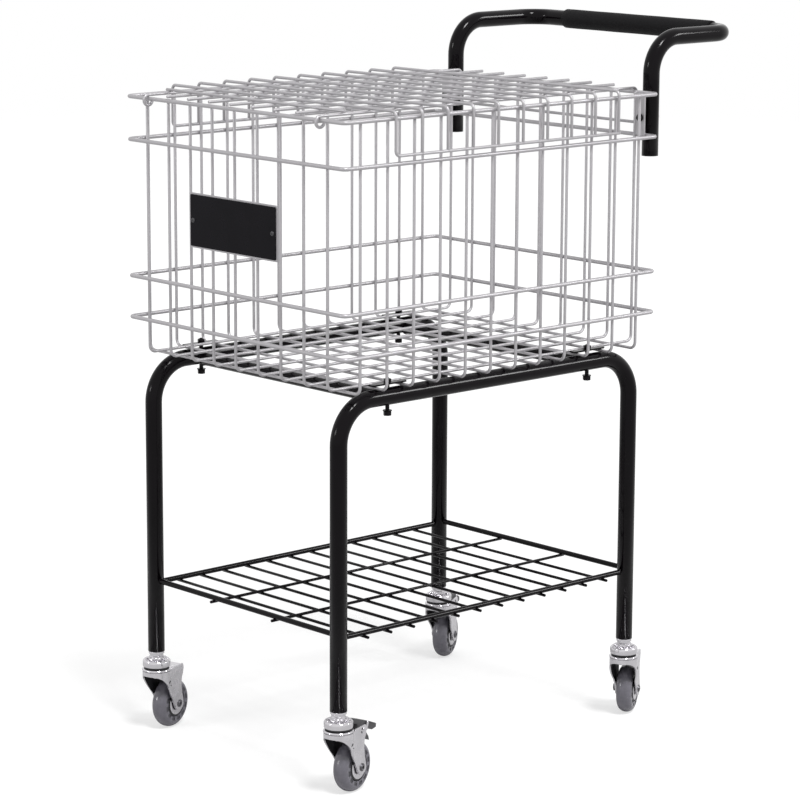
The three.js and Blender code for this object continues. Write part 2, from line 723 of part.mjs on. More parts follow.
function legFrameGeometry() {
  const route = [
    vector(-LEG_HALF_LENGTH, 0, LEG_FOOT_HEIGHT),
    vector(-LEG_HALF_LENGTH, 0, FRAME_HEIGHT),
    vector(LEG_HALF_LENGTH, 0, FRAME_HEIGHT),
    vector(LEG_HALF_LENGTH, 0, LEG_FOOT_HEIGHT),
  ];
  const points = roundedRoute(rounded(route, LEG_BEND), TUBE_BEND_STEPS);
  const tube = rod(points, TUBE_RADIUS, TUBE_SIDES, 0, BORE_RADIUS);
  const hole = holeRadius(CLAMP_BOLT_RADIUS, SEAT_GAP, BOLT_SIDES);
  const holes = [-CLAMP_X, CLAMP_X].map((x) => (
    alongZ(cylinder(hole, 2 * TUBE_RADIUS + CUT_OVERRUN, BOLT_SIDES)).translate(x, 0, FRAME_HEIGHT)
  ));
  return cut(tube, holes);
}

function crossTubeGeometry() {
  const half = LEG_HALF_WIDTH - TUBE_RADIUS - SEAT_GAP;
  const ends = [vector(0, -half, 0), vector(0, half, 0)];
  return rod(ends, CROSS_TUBE_RADIUS, TUBE_SIDES, 0, CROSS_TUBE_RADIUS - TUBE_WALL);
}

function clampPlateTop() {
  return FLOOR_Z + WIRE_RADIUS + SEAT_GAP + CLAMP_PLATE_THICKNESS;
}

function clampBoltGeometry() {
  const flangeTop = FRAME_HEIGHT - TUBE_RADIUS - CLAMP_BOLT_SLACK;
  const headTop = flangeTop - CLAMP_FLANGE_HEIGHT;
  const tip = clampPlateTop() + SEAT_GAP + CLAMP_NUT_HEIGHT + CLAMP_FLANGE_HEIGHT;
  const head = alongZ(cylinder(CLAMP_HEAD_RADIUS, CLAMP_HEAD_HEIGHT, HEX_SIDES))
    .translate(0, 0, headTop - CLAMP_HEAD_HEIGHT / 2);
  const flange = alongZ(cylinder(CLAMP_FLANGE_RADIUS, CLAMP_FLANGE_HEIGHT + WELD_SINK, BOLT_SIDES))
    .translate(0, 0, flangeTop - (CLAMP_FLANGE_HEIGHT + WELD_SINK) / 2);
  const shankLength = tip - headTop;
  const shank = alongZ(cylinder(CLAMP_BOLT_RADIUS, shankLength, BOLT_SIDES))
    .translate(0, 0, headTop + shankLength / 2);
  return join([head, flange, shank]);
}

function clampPlateGeometry() {
  const outline = new THREE.Shape([
    new THREE.Vector2(-CLAMP_PLATE_LENGTH / 2, -CLAMP_PLATE_WIDTH / 2),
    new THREE.Vector2(CLAMP_PLATE_LENGTH / 2, -CLAMP_PLATE_WIDTH / 2),
    new THREE.Vector2(CLAMP_PLATE_LENGTH / 2, CLAMP_PLATE_WIDTH / 2),
    new THREE.Vector2(-CLAMP_PLATE_LENGTH / 2, CLAMP_PLATE_WIDTH / 2),
  ]);
  const hole = holeRadius(CLAMP_BOLT_RADIUS, SEAT_GAP, BOLT_SIDES);
  outline.holes.push(new THREE.Path(polygon(hole, BOLT_SIDES, 0)));
  const plate = new THREE.ExtrudeGeometry(outline, {
    depth: CLAMP_PLATE_THICKNESS,
    bevelEnabled: false,
  });
  return plate.translate(0, 0, clampPlateTop() - CLAMP_PLATE_THICKNESS);
}

function hexNut(radius, height, pinRadius) {
  const outline = new THREE.Shape(polygon(radius, HEX_SIDES, 0));
  const hole = holeRadius(pinRadius, SEAT_GAP, BOLT_SIDES);
  outline.holes.push(new THREE.Path(polygon(hole, BOLT_SIDES, 0)));
  return new THREE.ExtrudeGeometry(outline, { depth: height, bevelEnabled: false });
}

// Shelf

function shelfGeometry() {
  const weld = SHELF_ROD_RADIUS + SHELF_BORDER_RADIUS - WELD_SINK;
  const rodZ = SHELF_HEIGHT - weld;
  const longRodZ = rodZ + 2 * SHELF_ROD_RADIUS - WELD_SINK;
  const endBorderZ = longRodZ + weld;
  const sideHalf = LEG_HALF_LENGTH - TUBE_RADIUS - SEAT_GAP;
  const endHalf = LEG_HALF_WIDTH - TUBE_RADIUS - SEAT_GAP;
  const pieces = [];
  for (const y of [-LEG_HALF_WIDTH, LEG_HALF_WIDTH]) {
    const from = vector(-sideHalf, y, SHELF_HEIGHT);
    const to = vector(sideHalf, y, SHELF_HEIGHT);
    pieces.push(straight(from, to, SHELF_BORDER_RADIUS, BORDER_SIDES));
  }
  for (const x of [-LEG_HALF_LENGTH, LEG_HALF_LENGTH]) {
    const from = vector(x, -endHalf, endBorderZ);
    const to = vector(x, endHalf, endBorderZ);
    pieces.push(straight(from, to, SHELF_BORDER_RADIUS, BORDER_SIDES));
  }
  const rodEnd = LEG_HALF_WIDTH + SHELF_ROD_POKE;
  for (const x of evenly(SHELF_ROD_COUNT, SHELF_ROD_PITCH)) {
    const from = vector(x, -rodEnd, rodZ);
    const to = vector(x, rodEnd, rodZ);
    pieces.push(straight(from, to, SHELF_ROD_RADIUS, WIRE_SIDES));
  }
  const longRodEnd = LEG_HALF_LENGTH + SHELF_LONG_POKE;
  const longPitch = 2 * LEG_HALF_WIDTH / (SHELF_LONG_ROD_COUNT + 1);
  for (const y of evenly(SHELF_LONG_ROD_COUNT, longPitch)) {
    const from = vector(-longRodEnd, y, longRodZ);
    const to = vector(longRodEnd, y, longRodZ);
    pieces.push(straight(from, to, SHELF_ROD_RADIUS, WIRE_SIDES));
  }
  return join(pieces);
}

// Casters

function stemGeometry() {
  const plugRadius = BORE_RADIUS * Math.cos(Math.PI / BORE_SIDES) - STEM_CLEARANCE;
  const crownBottom = FORK_TOP - CROWN_THICKNESS;
  const headTop = crownBottom - SEAT_GAP;
  const sealBottom = FORK_TOP + RACE_HEIGHT + SEAT_GAP;
  const plugTop = LEG_FOOT_HEIGHT + STEM_PLUG_LENGTH;
  return alongZ(turned([
    [0, headTop - KINGPIN_HEAD_HEIGHT],
    [KINGPIN_HEAD_RADIUS, headTop - KINGPIN_HEAD_HEIGHT],
    [KINGPIN_HEAD_RADIUS, headTop],
    [KINGPIN_RADIUS, headTop],
    [KINGPIN_RADIUS, sealBottom],
    [SEAL_RADIUS, sealBottom],
    [SEAL_RADIUS, CAP_BOTTOM],
    [CAP_RADIUS, CAP_BOTTOM],
    [CAP_RADIUS, CAP_TOP - CAP_CHAMFER],
    [CAP_RADIUS - CAP_CHAMFER, CAP_TOP],
    [plugRadius, CAP_TOP],
    [plugRadius, plugTop],
    [0, plugTop],
  ], CASTER_SIDES));
}

function forkPlan(halfWidth, frontRadius) {
  const plan = new THREE.Shape();
  const joinX = Math.sqrt(frontRadius ** 2 - halfWidth ** 2);
  const angle = Math.atan2(halfWidth, joinX);
  const rear = FORK_REAR + CUT_OVERRUN;
  plan.moveTo(rear, -halfWidth);
  plan.lineTo(rear, halfWidth);
  plan.lineTo(joinX, halfWidth);
  plan.absarc(0, 0, frontRadius, angle, 2 * Math.PI - angle, false);
  return plan;
}

function forkWall() {
  const depth = FORK_TOP + FORK_EAR_HEIGHT + CUT_OVERRUN;
  const outerPlan = forkPlan(FORK_INNER_HALF_WIDTH + FORK_THICKNESS, FORK_FRONT_RADIUS);
  const innerPlan = forkPlan(FORK_INNER_HALF_WIDTH, FORK_FRONT_RADIUS - FORK_THICKNESS);
  const outer = new THREE.ExtrudeGeometry(outerPlan, {
    depth,
    bevelEnabled: false,
    curveSegments: CURVE_STEPS,
  });
  const inner = new THREE.ExtrudeGeometry(innerPlan, {
    depth: depth + CUT_OVERRUN,
    bevelEnabled: false,
    curveSegments: CURVE_STEPS,
  });
  inner.translate(0, 0, -CUT_OVERRUN / 2);
  return solidOf(outer).subtract(solidOf(inner));
}

function forkSideOutline() {
  const side = new THREE.Shape();
  const front = -FORK_FRONT_RADIUS - CUT_OVERRUN;
  const footRight = WHEEL_TRAIL + FORK_FOOT_RADIUS;
  const footLeft = WHEEL_TRAIL - FORK_FOOT_RADIUS;
  side.moveTo(front, FORK_TOP);
  side.lineTo(front, FORK_ARCH_HEIGHT);
  side.quadraticCurveTo(FORK_ARCH_CONTROL_X, FORK_ARCH_CONTROL_Z, footLeft, WHEEL_RADIUS);
  side.absarc(WHEEL_TRAIL, WHEEL_RADIUS, FORK_FOOT_RADIUS, Math.PI, 2 * Math.PI, false);
  side.lineTo(footRight, WHEEL_RADIUS);
  side.lineTo(FORK_REAR, FORK_SHOULDER_Z);
  side.lineTo(FORK_REAR - FORK_EAR_SLOPE, FORK_TOP + FORK_EAR_HEIGHT);
  side.lineTo(FORK_EAR_START + FORK_EAR_SLOPE, FORK_TOP + FORK_EAR_HEIGHT);
  side.lineTo(FORK_EAR_START, FORK_TOP);
  return side;
}

function forkGeometry(braked) {
  const width = 2 * FORK_FRONT_RADIUS + CUT_OVERRUN;
  const side = new THREE.ExtrudeGeometry(forkSideOutline(), {
    depth: width,
    bevelEnabled: false,
    curveSegments: CURVE_STEPS,
  });
  side.rotateX(QUARTER_TURN).translate(0, width / 2, 0);
  const crown = alongZ(cylinder(FORK_FRONT_RADIUS - FORK_THICKNESS + WELD_SINK, CROWN_THICKNESS,
    CASTER_SIDES)).translate(0, 0, FORK_TOP - CROWN_THICKNESS / 2);
  const raceLength = RACE_HEIGHT + WELD_SINK;
  const race = alongZ(cylinder(RACE_RADIUS, raceLength, CASTER_SIDES))
    .translate(0, 0, FORK_TOP + RACE_HEIGHT - raceLength / 2);
  const kingpinHole = holeRadius(KINGPIN_RADIUS, AXLE_CLEARANCE, CASTER_SIDES);
  const kingpinDrill = alongZ(cylinder(kingpinHole, FORK_TOP, CASTER_SIDES))
    .translate(0, 0, FORK_TOP);
  const axleHole = holeRadius(AXLE_RADIUS, AXLE_CLEARANCE, BOLT_SIDES);
  const tools = [
    kingpinDrill,
    cylinder(axleHole, width, BOLT_SIDES).translate(WHEEL_TRAIL, 0, WHEEL_RADIUS),
  ];
  if (braked) {
    const pinHole = holeRadius(PEDAL_PIN_RADIUS, AXLE_CLEARANCE, BOLT_SIDES);
    tools.push(cylinder(pinHole, width, BOLT_SIDES).translate(PEDAL_PIVOT_X, 0, PEDAL_PIVOT_Z));
  }
  const wall = forkWall().intersect(solidOf(side));
  const whole = wasm.Manifold.union([wall, solidOf(crown), solidOf(race)]);
  return geometryOf(whole.subtract(wasm.Manifold.union(tools.map(solidOf))));
}

function tyreGeometry() {
  const flat = 1 / Math.cos(Math.PI / TYRE_SIDES);
  const outer = WHEEL_RADIUS * flat;
  const inner = WHEEL_RADIUS - TYRE_DEPTH;
  const half = TYRE_WIDTH / 2;
  const tread = TYRE_TREAD_WIDTH / 2;
  return turned([
    [inner, -half],
    [outer - TYRE_SHOULDER, -half],
    [outer, -tread],
    [outer, tread],
    [outer - TYRE_SHOULDER, half],
    [inner, half],
    [inner, -half],
  ], TYRE_SIDES, true);
}

function hubGeometry() {
  const bore = holeRadius(AXLE_RADIUS, AXLE_CLEARANCE, HUB_SIDES);
  const rim = (WHEEL_RADIUS - TYRE_DEPTH) * Math.cos(Math.PI / TYRE_SIDES) - SEAT_GAP;
  const half = HUB_WIDTH / 2;
  const guardOuter = TYRE_WIDTH / 2 + SEAT_GAP + GUARD_THICKNESS;
  const guardInner = TYRE_WIDTH / 2;
  return turned([
    [bore, -half],
    [HUB_BOSS_RADIUS, -half],
    [HUB_BOSS_RADIUS, -guardOuter],
    [GUARD_RADIUS, -guardOuter],
    [rim, -guardInner],
    [rim, guardInner],
    [GUARD_RADIUS, guardOuter],
    [HUB_BOSS_RADIUS, guardOuter],
    [HUB_BOSS_RADIUS, half],
    [bore, half],
    [bore, -half],
  ], HUB_SIDES);
}

// The axle bolt with its nut.
function axleGeometry() {
  const seat = FORK_INNER_HALF_WIDTH + FORK_THICKNESS + SEAT_GAP;
  return turned([
    [0, -seat - AXLE_HEAD_HEIGHT],
    [AXLE_HEAD_RADIUS, -seat - AXLE_HEAD_HEIGHT],
    [AXLE_HEAD_RADIUS, -seat],
    [AXLE_RADIUS, -seat],
    [AXLE_RADIUS, seat],
    [AXLE_NUT_RADIUS, seat],
    [AXLE_NUT_RADIUS, seat + AXLE_NUT_HEIGHT],
    [0, seat + AXLE_NUT_HEIGHT],
  ], BOLT_SIDES);
}

function pedalGeometry() {
  const side = new THREE.Shape();
  const underside = PEDAL_TOP - PEDAL_THICKNESS;
  const shoeZ = (x) => {
    const reach = WHEEL_RADIUS + SHOE_REST_GAP;
    return WHEEL_RADIUS + Math.sqrt(reach ** 2 - (x - WHEEL_TRAIL) ** 2);
  };
  side.moveTo(PEDAL_START, PEDAL_TOP);
  side.lineTo(PEDAL_START, underside);
  side.lineTo(PEDAL_PIVOT_X - PEDAL_BOSS_RADIUS, underside);
  side.absarc(PEDAL_PIVOT_X, PEDAL_PIVOT_Z, PEDAL_BOSS_RADIUS, Math.PI, 1.5 * Math.PI, false);
  side.lineTo(SHOE_START, shoeZ(SHOE_START));
  side.lineTo(SHOE_END, shoeZ(SHOE_END));
  side.lineTo(SHOE_END, underside);
  side.lineTo(PEDAL_END, PEDAL_TOP - PEDAL_TIP_DROP - PEDAL_TIP_THICKNESS);
  side.lineTo(PEDAL_END, PEDAL_TOP - PEDAL_TIP_DROP);
  side.lineTo(PEDAL_BAND_X + PEDAL_BAND_LENGTH, PEDAL_TOP);
  const body = new THREE.ExtrudeGeometry(side, {
    depth: PEDAL_WIDTH,
    bevelEnabled: false,
    curveSegments: CURVE_STEPS,
  });
  body.rotateX(QUARTER_TURN).translate(0, PEDAL_WIDTH / 2, 0);
  const pinLength = 2 * (FORK_INNER_HALF_WIDTH + FORK_THICKNESS);
  const pin = cylinder(PEDAL_PIN_RADIUS, pinLength, BOLT_SIDES)
    .translate(PEDAL_PIVOT_X, 0, PEDAL_PIVOT_Z);
  return join([body, pin]);
}

function pedalBandGeometry() {
  const bottom = PEDAL_TOP - PEDAL_THICKNESS - PEDAL_TIP_DROP;
  const box = (grow) => [
    new THREE.Vector2(-PEDAL_WIDTH / 2 - grow, bottom - grow),
    new THREE.Vector2(PEDAL_WIDTH / 2 + grow, bottom - grow),
    new THREE.Vector2(PEDAL_WIDTH / 2 + grow, PEDAL_TOP + grow),
    new THREE.Vector2(-PEDAL_WIDTH / 2 - grow, PEDAL_TOP + grow),
  ];
  const outline = new THREE.Shape(box(SEAT_GAP + PEDAL_BAND_WALL));
  outline.holes.push(new THREE.Path(box(SEAT_GAP)));
  return uprightPlate(outline, PEDAL_BAND_LENGTH).translate(PEDAL_BAND_X, 0, 0);
}

// Assembly

const cart = new THREE.Group();

function add(group, name, geometry, material, x = 0, y = 0, z = 0) {
  const mesh = new THREE.Mesh(geometry, material);
  mesh.name = name;
  mesh.position.set(x, y, z);
  group.add(mesh);
}

function addBasket() {
  add(cart, 'basket_floor', basketFloorGeometry(), materials.silverPaint);
  for (const [name, side] of [['near', -1], ['far', 1]]) {
    add(cart, `basket_side_${name}`, sideWallGeometry(side), materials.silverPaint);
  }
  for (const [name, side] of [['left', -1], ['right', 1]]) {
    add(cart, `basket_end_${name}`, endWallGeometry(side), materials.silverPaint);
  }
}

function addLid() {
  add(cart, 'lid_top', lidTopGeometry(), materials.silverPaint);
  add(cart, 'lid_end_wire', bailGeometry(), materials.silverPaint);
  for (const [name, side] of [['near', -1], ['far', 1]]) {
    add(cart, `lid_skirt_${name}`, skirtGeometry(side), materials.silverPaint);
  }
}

function addNamePlate() {
  const z = RIM_Z - NAME_PLATE_DROP;
  const backing = namePlateSheet(0, 1, [-NAME_SCREW_HALF_SPAN, NAME_SCREW_HALF_SPAN]);
  add(cart, 'name_plate_backing', backing, materials.silverPaint, 0, 0, z);
  add(cart, 'name_plate', namePlateGeometry(), materials.blackPlate, 0, 0, z);
}

function addHandle() {
  add(cart, 'handle_tube', handleGeometry(), materials.blackPaint);
  const gripX = ARM_X + HANDLE_REACH;
  add(cart, 'handle_grip', gripGeometry(), materials.foam, gripX, 0, RIM_Z + HANDLE_RISE);
  for (const [name, side] of [['near', -1], ['far', 1]]) {
    const y = side * HANDLE_HALF_WIDTH;
    add(cart, `handle_plate_${name}`, handlePlateGeometry(side), materials.silverPaint);
    add(cart, `handle_bolt_${name}`, handleBoltGeometry(), materials.blackPaint, 0, y,
      HANDLE_BOLT_Z);
    add(cart, `handle_nut_${name}`, capNutGeometry(), materials.blackPaint, 0, y, HANDLE_BOLT_Z);
  }
}

function addFrame() {
  for (const [name, side] of [['near', -1], ['far', 1]]) {
    const y = side * LEG_HALF_WIDTH;
    add(cart, `leg_frame_${name}`, legFrameGeometry(), materials.blackPaint, 0, y);
  }
  for (const [name, side] of [['left', -1], ['right', 1]]) {
    const x = side * CROSS_TUBE_X;
    const z = FRAME_HEIGHT - CROSS_TUBE_DROP;
    add(cart, `cross_tube_${name}`, crossTubeGeometry(), materials.blackPaint, x, 0, z);
  }
  add(cart, 'shelf', shelfGeometry(), materials.blackPaint);
}

function addClamps() {
  for (const { name, x, y } of CASTER_SPOTS) {
    const placeX = x * CLAMP_X;
    const placeY = y * LEG_HALF_WIDTH;
    const nutZ = clampPlateTop() + SEAT_GAP;
    const nut = hexNut(CLAMP_NUT_RADIUS, CLAMP_NUT_HEIGHT, CLAMP_BOLT_RADIUS);
    add(cart, `clamp_bolt_${name}`, clampBoltGeometry(), materials.blackPaint, placeX, placeY);
    add(cart, `clamp_plate_${name}`, clampPlateGeometry(), materials.blackPaint, placeX, placeY);
    add(cart, `clamp_nut_${name}`, nut, materials.blackPaint, placeX, placeY, nutZ);
  }
}

function addCasters() {
  for (const { name, x, y, swivel, brake } of CASTER_SPOTS) {
    const placeX = x * LEG_HALF_LENGTH;
    const placeY = y * LEG_HALF_WIDTH;
    add(cart, `caster_stem_${name}`, stemGeometry(), materials.chrome, placeX, placeY);
    const turning = new THREE.Group();
    turning.position.set(placeX, placeY, 0);
    turning.rotation.z = THREE.MathUtils.degToRad(swivel);
    cart.add(turning);
    const wheel = [WHEEL_TRAIL, 0, WHEEL_RADIUS];
    add(turning, `fork_${name}`, forkGeometry(brake), materials.chrome);
    add(turning, `tyre_${name}`, tyreGeometry(), materials.tyre, ...wheel);
    add(turning, `hub_${name}`, hubGeometry(), materials.chrome, ...wheel);
    add(turning, `axle_${name}`, axleGeometry(), materials.chrome, ...wheel);
    if (brake) {
      add(turning, `brake_pedal_${name}`, pedalGeometry(), materials.pedal);
      add(turning, `brake_band_${name}`, pedalBandGeometry(), materials.chrome);
    }
  }
}

addBasket();
addLid();
addNamePlate();
addHandle();
addFrame();
addClamps();
addCasters();

const box = new THREE.Box3().setFromObject(cart, true);
cart.position.set(-(box.min.x + box.max.x) / 2, -(box.min.y + box.max.y) / 2, -box.min.z);
cart.updateMatrixWorld(true);

export default cart;
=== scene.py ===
"""Ball cart in Blender: round bent wire, tube, casters and finishes built over the CAD frame.

Sizes are millimetres from the middle of the basket on the floor, as in the CAD source, and each
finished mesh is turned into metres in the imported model's own frame.
"""

import json
import math

import bmesh
import bpy
from mathutils import Matrix, Vector

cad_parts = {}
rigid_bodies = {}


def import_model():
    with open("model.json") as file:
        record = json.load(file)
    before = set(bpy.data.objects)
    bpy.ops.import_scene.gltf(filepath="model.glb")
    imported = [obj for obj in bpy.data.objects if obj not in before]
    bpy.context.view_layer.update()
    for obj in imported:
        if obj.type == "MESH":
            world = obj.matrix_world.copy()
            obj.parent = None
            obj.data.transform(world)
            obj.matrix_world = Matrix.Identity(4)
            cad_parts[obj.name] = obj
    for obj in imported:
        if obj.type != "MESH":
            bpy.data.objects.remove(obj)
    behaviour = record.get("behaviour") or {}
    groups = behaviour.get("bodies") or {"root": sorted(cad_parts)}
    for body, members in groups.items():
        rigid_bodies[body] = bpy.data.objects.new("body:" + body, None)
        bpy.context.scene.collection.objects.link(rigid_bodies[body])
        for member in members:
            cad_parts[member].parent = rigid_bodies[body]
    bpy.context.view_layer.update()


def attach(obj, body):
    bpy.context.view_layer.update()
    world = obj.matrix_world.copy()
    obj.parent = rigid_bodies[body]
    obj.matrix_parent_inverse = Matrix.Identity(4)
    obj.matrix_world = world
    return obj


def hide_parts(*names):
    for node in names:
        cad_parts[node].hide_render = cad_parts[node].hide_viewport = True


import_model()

bl_info = {
    "name": "Ball cart",
    "version": (1, 0, 0),
    "blender": (4, 5, 0),
    "location": "3D View > Sidebar > Ball cart",
    "description": "Builds a wire ball cart with a hinged lid, shelf, handle and casters",
    "category": "Add Mesh",
}

MM = 0.001
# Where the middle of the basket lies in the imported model's frame
FRAME_SHIFT = Vector((-98.37, -4.53, 0.0))

X = Vector((1, 0, 0))
Y = Vector((0, 1, 0))
Z = Vector((0, 0, 1))
BOTH = (-1, 1)
SIDES = (("near", -1), ("far", 1))
ENDS = (("left", -1), ("right", 1))

# Wire work: facets added to thicker rods, steps in bends, and how deep weld spots sit
WIRE_BEND_STEPS = 8
TUBE_BEND_STEPS = 18
HINGE_STEPS = 28
RING_EXTRA_SIDES = 4
BORDER_EXTRA_SIDES = 8
WELD_SINK = 0.1
BASKET_WELD_SINK = 0.2
LUG_WELD_LIFT = 0.1
RING_MERGE = 0.01
# A sheared end narrows in rings: (step along the wire in wire radii, size against the ring before)
SHEARED_END = ((0.16, 0.93), (0.12, 0.72))

# Facets round turned pieces, and the angle past which a plate's rim is rounded
ROUND_SIDES = 72
BEAD_SIDES = 66
GRIP_SIDES = 56
AXLE_SIDES = 48
BOLT_SIDES = 36
NUT_SIDES = 32
BOSS_SIDES = 28
PIN_SIDES = 24
LOBE_SIDES = 12
TURNED_MERGE = 0.001
RIM_ANGLE = math.radians(50)
THREAD_SIDES = 20
THREAD_PITCH = 1.0
THREAD_DEPTH = 0.3
THREAD_TIP = 0.4

# A weld bead round a tube: (out from the tube, along it) in bead sizes, and its ripples
BEAD_ROOT = 0.4
BEAD_SECTION = ((0.55, -0.6), (0.75, 0.2), (0.4, 0.9))
BEAD_RIPPLES = 22
BEAD_RIPPLE = 0.012

# Basket
BASKET_HALF_LENGTH = 303.5
BASKET_HALF_WIDTH = 235.7
WIRE_PITCH = 50.0
CROSS_WIRES = 12
LONG_WIRES = 9
CROSS_FLOOR_Z = 584.05
LONG_FLOOR_Z = 588.1
FLOOR_BEND = 10.0
RIM_Z = 963.6
RING_HEIGHTS = (963.6, 900.6, 698.6, 637.0)
RING_HALF_LENGTH = 308.3
RING_HALF_WIDTH = 240.5
RING_CORNER = 7.5

# Lid
LID_LONG_WIRES = 9
LID_LONG_PITCH = 47.7
LID_END_Y = 190.8
LID_END_Z = 969.15
LID_LONG_Z = 969.9
LID_CROSS_Z = 973.95
LID_CROSS_WIRES = 10
LID_CROSS_PITCH = 48.8
LID_LONG_START = -310.9
LID_LONG_STOP = 315.95
LID_BEND = 7.0
SKIRT_Y = 246.95
SKIRT_Z = 912.6
BAIL_X = 315.35
BAIL_Z = 917.6
HINGE_X = -308.75
HINGE_Z = 961.55
HINGE_RADIUS = 7.6
HINGE_SWEEP = math.radians(270)
STIFFENER_X = -269.3
STIFFENER_HALF = 196.8
SKIRT_WIRE_STOP = 0.8
SKIRT_WELD_EXTRA = 0.2
SKIRT_WELD_FLAT = 0.8

# Name plate
PLATE_FACE_X = -305.75
PLATE_SHEET = 1.2
PLATE_GAP = 0.3
PLATE_WIDTH = 195.0
PLATE_HEIGHT = 80.0
PLATE_BORDER = 2.5
PLATE_Z = 796.6
PLATE_CORNER = 2.0
PLATE_EDGE = 0.35
BACKING_CORNER = 3.0
BACKING_EDGE = 0.3
SCREW_HALF_SPAN = 88.5
# Profiles of turned pieces are (radius, height) pairs along their own axis
PLATE_SCREW = (
    (0, 0.7), (0.9, 0.7), (1.2, 1.0), (1.5, 1.62), (2.3, 1.45), (3.1, 1.0), (3.5, 0.45),
    (3.55, 0.02), (1.6, 0.0), (1.6, -3.2), (0, -3.2),
)
PLATE_NUT_RADIUS = 3.3
PLATE_NUT_HEIGHT = 2.3
PLATE_NUT_EDGE = 0.25

# Handle
TUBE_RADIUS = 12.5
HANDLE_X = 324.1
HANDLE_Y = 212.4
HANDLE_FOOT_Z = 868.6
HANDLE_TOP_Z = 1043.6
HANDLE_BAR_X = 500.1
HANDLE_LOWER_BEND = 53.0
HANDLE_CORNER_BEND = 40.0
GRIP_START = -172.0
GRIP_STOP = 140.0
LUG_X = 301.65
LUG_THICKNESS = 3.0
LUG_INNER_Y = 202.55
LUG_WIDTH = 18.0
LUG_BOTTOM_Z = 900.6
LUG_CORNER = 1.2
LUG_EDGE = 0.5
LUG_WELD_RADIUS = 1.5
LUG_WELD_SHARES = (0.2, 0.5, 0.8)
HANDLE_BOLT_Z = 927.0
HANDLE_BOLT = (
    (0, 299.2), (2.2, 299.2), (2.6, 297.6), (3.6, 296.95), (4.8, 297.5), (5.6, 298.7),
    (5.85, 300.2), (5.85, 301.3), (3.0, 301.35), (3.0, 338.0), (0, 338.0),
)
HANDLE_NUT = (
    (0, 336.75), (4.6, 336.75), (4.6, 337.2), (4.2, 338.3), (3.0, 339.2), (1.5, 339.6), (0, 339.7),
)
GRIP_FIT = 0.05
GRIP_LIP = 0.9
# Each end is rounded by these points, as (in from the surface, along from the end)
GRIP_ROUNDING = ((0.7, 0.35), (0.15, 1.2))
GRIP_END = 1.5
GRIP_STEPS = 24
GRIP_SWELL = 0.08
GRIP_WAVES = 3.5

# Legs, cross tubes and clamps
LEG_X = 291.0
LEG_Y = 209.0
LEG_FOOT_Z = 127.0
LEG_TOP_Z = 569.0
LEG_BEND = 60.0
CROSS_TUBE_X = 205.0
CROSS_TUBE_Z = 567.0
CROSS_TUBE_RADIUS = 10.0
CROSS_TUBE_HALF = 196.2
CROSS_TUBE_BEAD = 1.5
CROSS_TUBE_BEAD_INSET = 1.3
CLAMP_X = 200.0
CLAMP_HEAD_RADIUS = 6.0
CLAMP_HEAD_BOTTOM = 541.55
CLAMP_HEAD_TOP = 547.95
CLAMP_HEAD_EDGE = 0.5
CLAMP_SHANK_RADIUS = 3.0
CLAMP_SHANK = (
    (0, 547.8), (5.9, 547.8), (6.7, 548.4), (6.8, 549.0), (6.4, 549.45),
    (CLAMP_SHANK_RADIUS, 549.5), (CLAMP_SHANK_RADIUS, 586.0), (0, 586.0),
)
CLAMP_THREAD_BOTTOM = 585.9
CLAMP_THREAD_TOP = 595.9
CLAMP_BAR_HALF = (32.0, 6.3)
CLAMP_BAR_CORNER = 2.5
CLAMP_BAR_THICKNESS = 2.5
CLAMP_BAR_Z = 586.6
CLAMP_BAR_EDGE = 0.5
CLAMP_NUT_RADIUS = 5.8
CLAMP_NUT_BOTTOM = 589.4
CLAMP_NUT_TOP = 594.4
CLAMP_NUT_EDGE = 0.45

# Shelf
SHELF_Z = 233.0
SHELF_END_Z = 237.05
SHELF_SIDE_HALF = 278.2
SHELF_END_HALF = 196.2
SHELF_RODS = 12
SHELF_ROD_PITCH = 44.0
SHELF_ROD_Z = 227.2
SHELF_ROD_HALF = 217.0
SHELF_LONG_Y = 69.67
SHELF_LONG_Z = 231.25
SHELF_LONG_HALF = 297.0
BORDER_BEAD = 0.9
BORDER_BEAD_INSET = 0.6
BORDER_BEAD_RIPPLES = 14
BORDER_WELD_EXTRA = 0.4

# Casters, in their own frame: swivel axis at x = 0, wheel trailing to +X
# Each is (name, side in X, side in Y, swivel angle in degrees, has a brake)
CASTERS = (
    ("left", -1, 1, 18.0, False),
    ("near", -1, -1, 16.0, True),
    ("right", 1, -1, 32.0, False),
    ("far", 1, 1, 28.0, True),
)
WHEEL_X = 35.0
WHEEL_RADIUS = 37.5
AXLE_TURN = Matrix.Rotation(-math.pi / 2, 4, "X")
AXLE_PLACE = Matrix.Translation((WHEEL_X, 0, WHEEL_RADIUS)) @ AXLE_TURN

# Caster stem: cap with its serrated flange and dimples, neck and plug, and the seal below
CAP = (
    (0, 84.3), (6.4, 84.3), (7.0, 84.9), (7.0, 88.2), (6.4, 88.7), (5.0, 88.7), (5.0, 103.6),
    (19.8, 103.6), (20.7, 103.9), (21.0, 104.6), (21.0, 112.2), (20.7, 112.7), (19.5, 113.9),
    (18.9, 114.1), (18.2, 113.9), (17.2, 112.8), (14.0, 112.8), (11.5, 114.2),
    (11.2, 119.2), (10.1, 120.2), (10.1, 163.6), (9.2, 165.0), (0, 165.0),
)
# Fluted rings are (radius, flute depth, flutes, bottom, top, edge)
CAP_FLANGE = (13.0, 1.7, 9, 113.0, 117.6, 0.9)
NECK_COLLAR = (11.2, 0.6, 12, 122.6, 126.6, 0.6)
SEAL = (19.1, 0.22, 9, 100.9, 103.4, 0.5)
SEAL_STEPS = 120
DIMPLES = 12
DIMPLE_REACH = 16.2
DIMPLE_Z = 112.8
DIMPLE_RADIUS = 1.2
DIMPLE_SHAPE = (1.1, 1.7, 0.9, 1)

